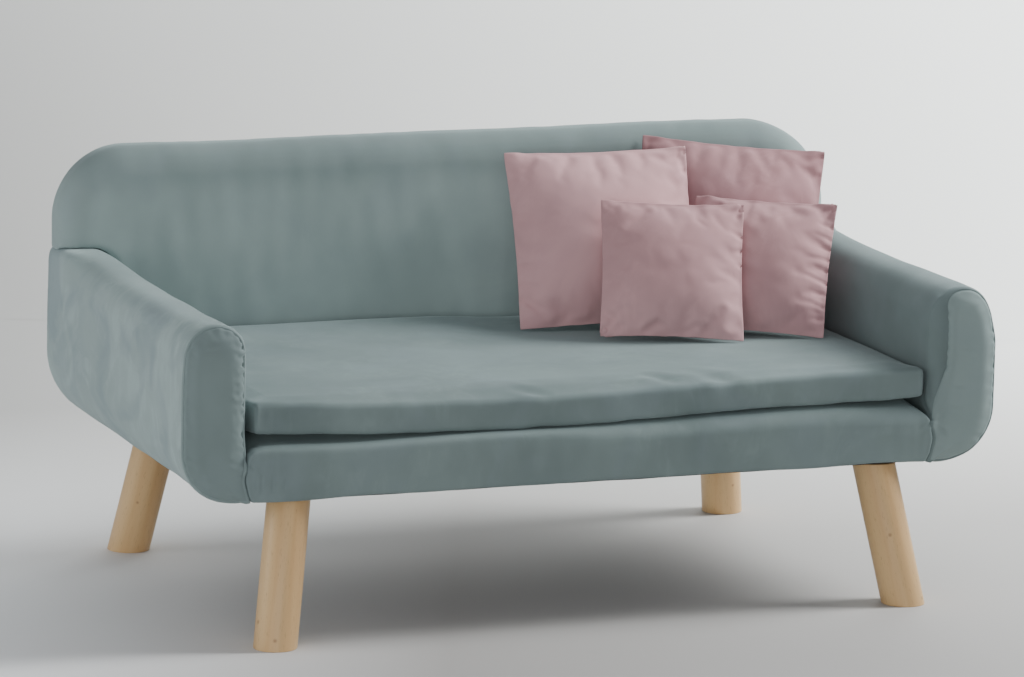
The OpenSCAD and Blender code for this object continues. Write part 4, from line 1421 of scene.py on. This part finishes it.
@dataclass
class Mattress:
    """The loose foam slab in its own velvet cover, soft along its front edge."""

    finish_used: Finish
    half_w: float = 0.418
    front_y: float = -0.252
    rear_y: float = 0.202
    foot_z: float = SEAT_Z + PLAY
    top_z: float = 0.2798
    edge_r: float = 0.0065
    corner: float = 0.0045
    tucked: float = 0.002
    rear_rise: float = 0.006
    cell: float = 0.0069
    fine: float = 0.0026
    fine_band: float = 0.026
    swell: float = 0.001
    crown: float = 0.0035
    top_from: float = 0.262
    top_to: float = 0.274
    swell_up: float = 0.0026
    left_up: float = 0.0042
    right_up: float = 0.0022
    fill: float = 0.8

    def build(self) -> Skin:
        """Builds, stuffs and dresses the mattress.

        Returns:
            The finished skin.
        """
        half_w = self.half_w - self.swell
        xs = spaced(-half_w, half_w, self.fine, self.cell, self.fine_band)
        rows = round((self.rear_y - self.front_y) / self.cell) + 1
        ys = np.linspace(self.front_y + self.swell, self.rear_y - self.swell, rows)
        r = self.edge_r
        rounds = quarter(3, r, r)
        foot = [(i, i, self.foot_z + d) for i, d in rounds][::-1]
        edge = self.top_z - self.crown
        walls = [(0.0, 0.0, z) for z in np.linspace(self.foot_z + r, edge - r, 5)[1:-1]]
        top = [(i, i, edge - d) for i, d in rounds]
        skin = Slab(xs, ys, foot + walls + top, self.corner).build("mattress_upholstery")
        skin.outward()
        start = skin.points
        skin.stuff(pressure=3.0, frames=16, cap=0.003)
        soft = step(0.0, 0.04, self._from_edge(start))[:, None]
        skin.points = start + (skin.points - start) * (0.25 + 0.75 * soft)
        skin.apply("SUBSURF", levels=1, render_levels=1)
        self._shape(skin)
        skin.fold(self.folds())
        skin.keep("brushed", BRUSHED_SEAT)
        # Painted shade over the seat, a little less on its front face
        _, y, z = skin.points.T
        in_front = (1 - step(self.front_y, self.front_y + 0.006, y)) * (z < self.top_to)
        skin.keep("nap", PAINTED_SHADE_SEAT + (PAINTED_SHADE_SEAT_FRONT - PAINTED_SHADE_SEAT) * in_front)
        nodes = ["mattress_cover", "mattress_foam"]
        skin.finish(self.finish_used, "sage_velvet", "mattress", nodes, self.fill)
        return skin

    def _from_edge(self, places: np.ndarray) -> np.ndarray:
        """Gives each point's distance from the slab's nearest side."""
        x, y = places[:, 0], places[:, 1]
        return np.minimum.reduce([self.half_w - np.abs(x), y - self.front_y, self.rear_y - y])

    def _shape(self, skin: Skin) -> None:
        """Crowns the top, hangs the front edge and keeps the slab inside its solid.

        Args:
            skin: The mattress's skin.
        """
        places = skin.points
        x, y, z = places.T
        inner = self._from_edge(places)
        high = step(self.top_from, self.top_to, z)
        z += high * (self.swell_up * step(0.0, 0.06, inner) + 0.0006 * undulation(places, 0.2, 41) - 0.0004)
        np.clip(x, -self.half_w, self.half_w, out=x)
        np.clip(y, self.front_y, self.rear_y, out=y)
        np.clip(z, self.foot_z, self.top_z, out=z)
        near_front = 1 - step(-0.25, -0.2, y)
        z -= sag(x) * near_front
        z += near_front * (self.left_up * step(-0.25, -0.41, x) + self.right_up * step(0.36, 0.415, x))
        z += self.rear_rise * high * step(-0.02, 0.19, y) * (1 - step(-0.04, 0.07, x))
        x += self.tucked * step(-0.34, -0.41, x) * (1 - step(-0.24, -0.12, y))
        skin.points = places
        near_end = np.exp(-(self.half_w - np.abs(x)) / 0.02)
        lift = 0.0004 * undulation(places, 0.012, 42, (1.0, 1.0, 0.2)) * near_end * (1 - high)
        lift += 0.0006 * undulation(places, 0.05, 43, (1.0, 0.6, 1.0)) * np.exp(-(y - self.front_y) / 0.03)
        skin.push(lift - 0.0006)

    def folds(self) -> list[Fold]:
        """Gives the slab's corner seams, and the soft creases along its front.

        Returns:
            The folds.
        """
        y = self.front_y
        seam = (0.0018, 0.0017, Taper.EVEN, 0.5)
        return [
            on_plane(y + 0.001, ((-0.4135, 0.242), (-0.4135, 0.276)), *seam),
            on_plane(y + 0.001, ((0.4155, 0.242), (0.4155, 0.274)), *seam),
            on_plane(y, ((-0.412, 0.252), (-0.401, 0.254)), 0.0009, 0.0018),
            on_plane(y, ((-0.412, 0.264), (-0.403, 0.262)), 0.0009, 0.0018),
            on_plane(y, ((0.415, 0.256), (0.404, 0.258)), 0.0008, 0.0018),
            on_plane(y, ((0.415, 0.266), (0.406, 0.27)), 0.0007, 0.0018),
            Fold(((-0.1, y + 0.03, 0.279), (-0.05, y + 0.004, 0.27)), 0.0016, 0.007),
            Fold(((0.07, y + 0.05, 0.279), (0.11, y + 0.012, 0.276)), 0.002, 0.009),
            Fold(((0.13, y + 0.06, 0.279), (0.17, y + 0.004, 0.272), (0.165, y, 0.25)), 0.002, 0.012),
        ]


@dataclass(frozen=True)
class Crease:
    """A crease in a cushion's front panel; its path runs in shares of the half width, right and up."""

    path: tuple[tuple[float, float], ...]
    depth: float
    width: float
    taper: Taper = Taper.END


@dataclass
class Cushion:
    """A scatter cushion: two panels sewn round a knife edge, stuffed and leaned back."""

    name: str
    finish_used: Finish
    width: float
    thickness: float
    yaw: float
    lean: float
    roll: float
    cells: int
    seed: int
    creases: tuple[Crease, ...] = ()
    nap: float = 0.0
    power: float = 0.72
    drawn_in: float = 0.04
    flange: float = 0.0034
    flange_t: float = 0.0006
    laid_flat: float = 0.6
    brought_back: float = 0.85
    fill: float = 0.65

    def build(self) -> Skin:
        """Builds, stuffs, places and dresses the cushion.

        Returns:
            The finished skin.
        """
        skin = self._panels()
        start = skin.points
        skin.points = self._flattened(start)
        seam = np.flatnonzero(np.abs(start[:, 1]) < self.flange_t + TINY).tolist()
        skin.stuff(
            pressure=7.0, frames=20, cap=0.03, mass=0.25, stiff=12.0, bend=0.25, held=seam, spare=0.02
        )
        skin.points = self._trued(start, skin.points)
        skin.apply("SUBSURF", levels=1, render_levels=1)
        self._crease(skin)
        # Painted light and shade: the cushion's own painted tone, with painted light added on its lower part,
        # which faces down
        nap = self.nap + PAINTED_LIGHT_CUSHION_FOOT * step(0.1, -0.9, skin.points[:, 2] / (self.width / 2))
        self._lean(skin)
        skin.keep("brushed", BRUSHED_CUSHION)
        skin.keep("nap", nap)
        nodes = [f"{self.name}_cover", f"{self.name}_filling"]
        skin.finish(self.finish_used, "rose_velvet", f"{self.name}_cushion", nodes, self.fill)
        return skin

    def _panels(self) -> Skin:
        """Makes the two panels, joined along the seam, in the form that the solid has.

        Returns:
            The closed skin, upright and round the origin.
        """
        n = self.cells
        places, number = [], {}
        for side in (-1, 1):
            for i in range(n + 1):
                for j in range(n + 1):
                    rim = i in (0, n) or j in (0, n)
                    if rim and side > 0:
                        number[(side, i, j)] = number[(-1, i, j)]
                        continue
                    a, b = self._share(i), self._share(j)
                    number[(side, i, j)] = len(places)
                    places.append((self._seam(a, b), side * self._swell(a, b), self._seam(b, a)))
        faces = []
        for side in (-1, 1):
            for i in range(n):
                for j in range(n):
                    face = tuple(number[(side, *c)] for c in ((i, j), (i + 1, j), (i + 1, j + 1), (i, j + 1)))
                    faces.append(face if side < 0 else face[::-1])
        return Skin(f"{self.name}_cushion_upholstery", np.array(places), faces)

    def _share(self, i: int) -> float:
        """Gives a grid line's place: the outer cells are the seam's flange.

        Args:
            i: The line's number.

        Returns:
            Its place from -1 to 1.
        """
        edge = 2 * self.flange / self.width
        if i in (0, self.cells):
            return -1.0 if i == 0 else 1.0
        return (2 * (i - 1) / (self.cells - 2) - 1) * (1 - edge)

    def _seam(self, a: float, b: float) -> float:
        """Gives a panel point's place along one side, drawn in between the corners."""
        blunt = 0.012 * (a * b) ** 12
        return self.width / 2 * a * (1 - self.drawn_in * (1 - b * b) - blunt)

    def _swell(self, a: float, b: float) -> float:
        """Gives half the thickness at a panel point.

        Args:
            a: The point's place across, from -1 to 1.
            b: Its place up, from -1 to 1.

        Returns:
            Half the thickness in metres.
        """
        inner = 1 - 2 * self.flange / self.width
        if max(abs(a), abs(b)) >= 1:
            return 0.0
        a, b = min(abs(a) / inner, 1.0), min(abs(b) / inner, 1.0)
        return max(self.flange_t, self.thickness / 2 * ((1 - a * a) * (1 - b * b)) ** self.power)

    def _flattened(self, places: np.ndarray) -> np.ndarray:
        """Lays the panels almost flat and a little uneven, as they are before they are stuffed.

        Args:
            places: The points of the solid's form.

        Returns:
            The flattened points.
        """
        flat = places.copy()
        inside = np.abs(places[:, 1]) > self.flange_t + TINY
        flat[inside, 1] *= self.laid_flat
        uneven = 0.0007 * np.column_stack([undulation(places, 0.03, self.seed + k) for k in range(3)])
        flat[inside] += uneven[inside]
        return flat

    def _trued(self, solid: np.ndarray, stuffed: np.ndarray) -> np.ndarray:
        """Brings the stuffed panels back to the solid's size, and keeps their creases.

        Args:
            solid: The points of the solid's form.
            stuffed: The points after the simulation.

        Returns:
            The cushion's points.
        """
        out = stuffed.copy()
        inside = np.abs(solid[:, 1]) > self.flange_t + TINY
        out[inside, 1] *= np.abs(solid[:, 1]).max() / np.abs(out[:, 1]).max()
        over = np.abs(out[:, 1]) - np.abs(solid[:, 1])
        out[:, 1] -= np.sign(out[:, 1]) * np.maximum(over, 0.0) * self.brought_back
        return out

    def _crease(self, skin: Skin) -> None:
        """Presses the creases into the front panel, and lets the seam waver a little.

        Args:
            skin: The cushion's skin, still upright.
        """
        places = skin.points
        flat = places * np.array([1.0, 0.0, 1.0])
        half = self.width / 2
        lift = np.zeros(len(places))
        for one in self.creases:
            path = tuple((half * u, 0.0, half * v) for u, v in one.path)
            lift += Fold(path, one.depth, one.width, one.taper).lift(flat)
        skin.push(lift * (places[:, 1] < 0))
        rim = np.maximum(np.abs(places[:, 0]), np.abs(places[:, 2])) / half
        waver = 0.0011 * undulation(places, 0.028, self.seed + 5) * step(0.86, 0.99, rim)
        moved = skin.points
        moved[:, 1] += waver
        skin.points = moved

    def _lean(self, skin: Skin) -> None:
        """Turns the cushion and sets it where its solid is.

        Args:
            skin: The cushion's skin, still upright.
        """
        low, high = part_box(f"{self.name}_cover")
        middle = (np.array(low) + np.array(high)) / 2
        turn = (
            Matrix.Rotation(math.radians(self.yaw), 3, "Z")
            @ Matrix.Rotation(math.radians(-self.lean), 3, "X")
            @ Matrix.Rotation(math.radians(-self.roll), 3, "Y")
        )
        skin.points = skin.points @ np.array(turn).T + middle


@dataclass
class Leg:
    """A round splayed beech leg, cut level at the top and at the foot."""

    name: str
    side_x: int
    side_y: int
    knots: tuple[tuple[Point, float], ...] = ()
    diameter: float = 0.05
    height: float = UNDERSIDE_Z
    top_gap: float = 0.0001
    edge_r: float = 0.0009
    top_x: float = 0.364
    top_y: float = 0.2285
    out_x: float = 0.027
    out_y: float = 0.037

    def build(self) -> Piece:
        """Builds and dresses the leg.

        Returns:
            The finished leg.
        """
        top = Vector((self.side_x * self.top_x, self.side_y * self.top_y, self.height))
        foot = Vector((self.side_x * (self.top_x + self.out_x), self.side_y * (self.top_y + self.out_y), 0.0))
        axis = (top - foot).normalized()
        turn = Vector((0, 0, 1)).rotation_difference(axis)
        deselect()
        bpy.ops.mesh.primitive_cylinder_add(
            vertices=96, radius=self.diameter / 2, depth=self.height + 2 * self.diameter,
            location=(top + foot) / 2, rotation=turn.to_euler(),
        )
        leg = bpy.context.object
        leg.name = leg.data.name = f"{self.name}_turned"
        bpy.ops.object.transform_apply(location=True, rotation=True, scale=True)
        bpy.ops.object.mode_set(mode="EDIT")
        for height, outer, inner in ((0.0, False, True), (self.height - self.top_gap, True, False)):
            bpy.ops.mesh.select_all(action="SELECT")
            bpy.ops.mesh.bisect(
                plane_co=(0, 0, height), plane_no=(0, 0, 1), use_fill=True, clear_outer=outer,
                clear_inner=inner,
            )
        bpy.ops.object.mode_set(mode="OBJECT")
        apply_modifier(leg, "BEVEL", width=self.edge_r, segments=3, angle_limit=math.radians(40))
        bpy.ops.object.shade_smooth_by_angle(angle=math.radians(35))
        grain = leg.data.attributes.new("grain", "FLOAT_VECTOR", "POINT")
        back = turn.inverted()
        along = [tuple(back @ (v.co - foot)) for v in leg.data.vertices]
        grain.data.foreach_set("vector", np.array(along, np.float32).ravel())
        Timber(BEECH, Space.GRAIN, self.knots).dress(leg.data)
        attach(leg, "sofa")
        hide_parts(self.name)
        log.info("%s: %d faces", leg.name, len(leg.data.polygons))
        return leg


@dataclass
class DustCloth:
    """The black cloth under the base."""

    half_w: float = 0.4168
    half_d: float = 0.254
    height: float = UNDERSIDE_Z + 0.0014
    columns: int = 84
    rows: int = 52
    thickness: float = 0.0006

    def build(self) -> Skin:
        """Builds and dresses the cloth.

        Returns:
            The finished skin.
        """
        xs = np.linspace(-self.half_w, self.half_w, self.columns)
        ys = np.linspace(-self.half_d, self.half_d, self.rows)
        grid = np.array([(x, y, self.height) for x in xs for y in ys])
        n = self.rows
        faces = [
            (i * n + j, (i + 1) * n + j, (i + 1) * n + j + 1, i * n + j + 1)
            for i in range(self.columns - 1) for j in range(n - 1)
        ]
        skin = Skin("dust_cloth_sheet", grid, faces)
        places = skin.points
        places[:, 2] += 0.0003 * undulation(places, 0.09, 51)
        skin.points = places
        skin.apply("SOLIDIFY", thickness=self.thickness, offset=0.0)
        skin.finish(Plain(DUST_BLACK), "black_cloth", "sofa", ["dust_cloth"], None)
        return skin


@dataclass
class InnerFrame:
    """The timber, foam and steel inside, which stay as they are in the frame."""

    def dress(self) -> None:
        """Gives each node inside its finish."""
        finishes = {
            "pine": Timber(PINE), "plywood": Timber(PLYWOOD), "hardboard": Plain(HARDBOARD),
            "foam": Plain(FOAM), "wadding": Plain(WADDING), "steel": Plain(ZINC),
        }
        for part in frame["record"]["subparts"]:
            finish = finishes.get(part["material_slot"])
            if finish is not None:
                finish.dress(frame["nodes"][part["node"]].data)


@dataclass
class Studio:
    """The pale sweep, the soft lights and the camera; angles in radians, the lens in picture pixels."""

    yaw: float = 0.3822
    pitch: float = 0.1851
    roll: float = 0.0211
    focal_px: float = 6124.31
    picture_px: float = 1024.0
    distance: float = 7.24194
    aim: tuple[float, float] = (-0.0039133, -0.0128249)
    aim_z: float = 0.3
    floor_half: float = 6.0
    wall_half: float = 1.7
    wall_y: float = 2.8
    wall_top: float = 3.2
    bend_r: float = 1.2
    wall_lift: float = 0.0002

    def build(self) -> None:
        """Builds the whole studio."""
        self._sweep()
        self._lights()
        self._camera()

    def _axes(self) -> tuple[Vector, Vector, Vector]:
        """Gives the camera's directions before its roll.

        Returns:
            Forward, right and up.
        """
        forward = Vector((
            math.sin(self.yaw) * math.cos(self.pitch), math.cos(self.yaw) * math.cos(self.pitch),
            -math.sin(self.pitch),
        ))
        right = Vector((math.cos(self.yaw), -math.sin(self.yaw), 0.0))
        return forward, right, right.cross(forward)

    def _camera(self) -> None:
        """Sets the camera where the picture was taken."""
        forward, right, up = self._axes()
        target = Vector((0, 0, self.aim_z)) + self.aim[0] * right + self.aim[1] * up
        across = math.cos(self.roll) * right + math.sin(self.roll) * up
        above = -math.sin(self.roll) * right + math.cos(self.roll) * up
        data = bpy.data.cameras.new("photo_view")
        data.sensor_width = SENSOR_MM
        data.lens = self.focal_px / self.picture_px * SENSOR_MM
        data.clip_end = 60.0
        camera = bpy.data.objects.new("photo_view", data)
        turn = Matrix((across, above, -forward)).transposed().to_4x4()
        camera.matrix_world = Matrix.Translation(target - self.distance * forward) @ turn
        bpy.context.scene.collection.objects.link(camera)
        bpy.context.scene.camera = camera

    def _sweep(self) -> None:
        """Builds the floor, and the wall that curves up from it."""
        turn = Matrix.Rotation(-self.yaw, 3, "Z")
        paper = Backdrop(tuple(turn @ Vector((1, 0, 0))), tuple(turn @ Vector((0, 1, 0))))
        wall = [
            (self.wall_y - self.bend_r * (1 - math.sin(a)), self.bend_r * (1 - math.cos(a)) + self.wall_lift)
            for a in math.pi / 2 * np.linspace(0.0, 1.0, 40) ** 2
        ]
        for name, half, run in (
            ("paper_floor", self.floor_half, [(-self.floor_half, 0.0), (self.floor_half, 0.0)]),
            ("paper_wall", self.wall_half, wall + [(self.wall_y, self.wall_top)]),
        ):
            places = [tuple(turn @ Vector((x, y, z))) for x in (-half, half) for y, z in run]
            n = len(run)
            skin = Skin(name, np.array(places), [(k, k + n, k + n + 1, k + 1) for k in range(n - 1)])
            skin.piece.data.materials.append(paper.material)
            skin.piece.data.polygons.foreach_set("use_smooth", [True] * (n - 1))

    def _lamp(
        self, name: str, place: Point, aim: Point, size: tuple[float, float], watts: float, tint: Colour
    ) -> None:
        """Adds one soft lamp.

        Args:
            name: The lamp's name.
            place: Where it stands, seen from the camera's side: right, away, up.
            aim: What it looks at.
            size: Its width and height.
            watts: Its power.
            tint: Its colour.
        """
        data = bpy.data.lights.new(name, "AREA")
        data.shape, data.size, data.size_y = "RECTANGLE", size[0], size[1]
        data.energy, data.color = watts, tint
        lamp = bpy.data.objects.new(name, data)
        turn = Matrix.Rotation(-self.yaw, 3, "Z")
        where = turn @ Vector(place)
        lamp.location = where
        lamp.rotation_euler = (Vector(aim) - where).to_track_quat("-Z", "Y").to_euler()
        bpy.context.scene.collection.objects.link(lamp)

    def _lights(self) -> None:
        """Sets the lamps and the room's light."""
        self._lamp("key", (-1.8, -1.6, 2.5), (0, 0, 0.3), (2.0, 2.0), 9.0, (1.0, 1.0, 1.0))
        self._lamp("side", (-3.2, -0.8, 1.0), (-0.5, 0, 0.3), (1.2, 1.2), 17.0, (1.0, 1.0, 1.0))
        self._lamp("front", (-0.5, -4.6, 0.75), (0, 0, 0.35), (3.0, 1.3), 44.0, (1.0, 1.0, 0.99))
        self._lamp("wall_glow", (2.6, 0.9, 2.2), (1.3, 2.8, 0.8), (1.6, 1.6), 280.0, (0.98, 1.0, 0.99))
        world = bpy.data.worlds.new("room")
        bpy.context.scene.world = world
        world.use_nodes = True
        light = world.node_tree.nodes["Background"].inputs
        light["Color"].default_value = (0.9, 0.93, 0.96, 1.0)
        light["Strength"].default_value = 0.34


def scatter_cushions(rose: Finish) -> list[Cushion]:
    """Gives the four cushions, in the order in which they are heaped.

    Args:
        rose: Their finish.

    Returns:
        The cushions, ready to build.
    """
    short = tuple(
        Crease(((0.93, v), (0.93 - reach, v + tilt)), 0.0016, 0.0026)
        for v, reach, tilt in (
            (0.62, 0.2, 0.03), (0.44, 0.26, 0.05), (0.3, 0.16, 0.0), (0.14, 0.3, -0.04), (-0.02, 0.2, 0.02),
            (-0.2, 0.3, 0.05), (-0.36, 0.18, -0.02), (-0.55, 0.26, 0.04), (-0.72, 0.2, -0.03),
        )
    )
    corner = (
        Crease(((0.97, 0.97), (0.84, 0.72)), 0.0022, 0.003),
        Crease(((0.96, 0.9), (0.78, 0.86)), 0.0018, 0.0028),
    )
    low_left = (
        Crease(((-0.93, -0.5), (-0.72, -0.58)), 0.0018, 0.0035),
        Crease(((-0.93, -0.66), (-0.62, -0.86)), 0.0022, 0.004),
        Crease(((-0.9, -0.3), (-0.78, -0.34)), 0.0014, 0.003),
    )
    pooled = (
        Crease(((-0.85, -0.7), (-0.6, -0.92)), 0.0022, 0.004),
        Crease(((-0.95, -0.95), (-0.7, -0.62)), 0.002, 0.0035),
        Crease(((-0.4, -0.92), (-0.2, -0.8), (0.0, -0.9)), 0.0016, 0.0036, Taper.BOTH),
        Crease(((0.1, -0.93), (0.34, -0.82), (0.6, -0.9)), 0.0016, 0.0036, Taper.BOTH),
        Crease(((0.94, 0.3), (0.8, 0.22)), 0.0016, 0.003),
        Crease(((0.94, 0.5), (0.72, 0.56)), 0.0018, 0.0032),
        Crease(((0.94, 0.08), (0.84, 0.1)), 0.0014, 0.0028),
    )
    pinch = (
        Crease(((0.96, 0.92), (0.78, 0.8)), 0.002, 0.003),
        Crease(((0.94, 0.7), (0.84, 0.62)), 0.0014, 0.0028),
    )
    large = {"width": 0.228, "thickness": 0.084, "cells": 46}
    small = {"width": 0.176, "thickness": 0.068, "cells": 38}
    # The last number of each cushion is its painted light and shade: lighter above zero, darker below
    return [
        Cushion(
            "large_right", rose, **large, yaw=-20.4, lean=29.0, roll=-4.6, seed=60, creases=pinch, nap=-0.3
        ),
        Cushion(
            "large_left", rose, **large, yaw=-12.6, lean=28.0, roll=2.0, seed=70,
            creases=low_left + pinch, nap=0.44,
        ),
        Cushion(
            "small_right", rose, **small, yaw=-30.0, lean=31.0, roll=-1.5, seed=80,
            creases=short + corner, nap=-0.04,
        ),
        Cushion(
            "small_front", rose, **small, yaw=-18.0, lean=29.0, roll=-1.5, seed=90,
            creases=pooled + corner, nap=0.1,
        ),
    ]


def main() -> None:
    """Builds the sofa bed and its studio."""
    logging.basicConfig(level=logging.INFO, format="%(message)s")
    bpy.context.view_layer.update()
    sage, rose = Velvet(SAGE), Velvet(ROSE)
    InnerFrame().dress()
    for left in (True, False):
        Arm(left, sage).build()
    Backrest(sage).build()
    Base(sage).build()
    Mattress(sage).build()
    for cushion in scatter_cushions(rose):
        cushion.build()
    for name, sx, sy, knots in (
        (
            "front_left_leg", -1, -1,
            (((-0.0247, -0.0039, 0.0265), 0.0034), ((-0.0094, -0.0232, 0.0066), 0.003)),
        ),
        ("front_right_leg", 1, -1, (((-0.0085, -0.0235, 0.083), 0.003), ((0.0175, -0.0179, 0.0015), 0.003))),
        ("rear_left_leg", -1, 1, (((-0.012, -0.022, 0.07), 0.0024),)),
        ("rear_right_leg", 1, 1, (((0.006, -0.024, 0.045), 0.0026),)),
    ):
        Leg(name, sx, sy, knots).build()
    DustCloth().build()
    Studio().build()


if __name__ == "__main__":
    main()
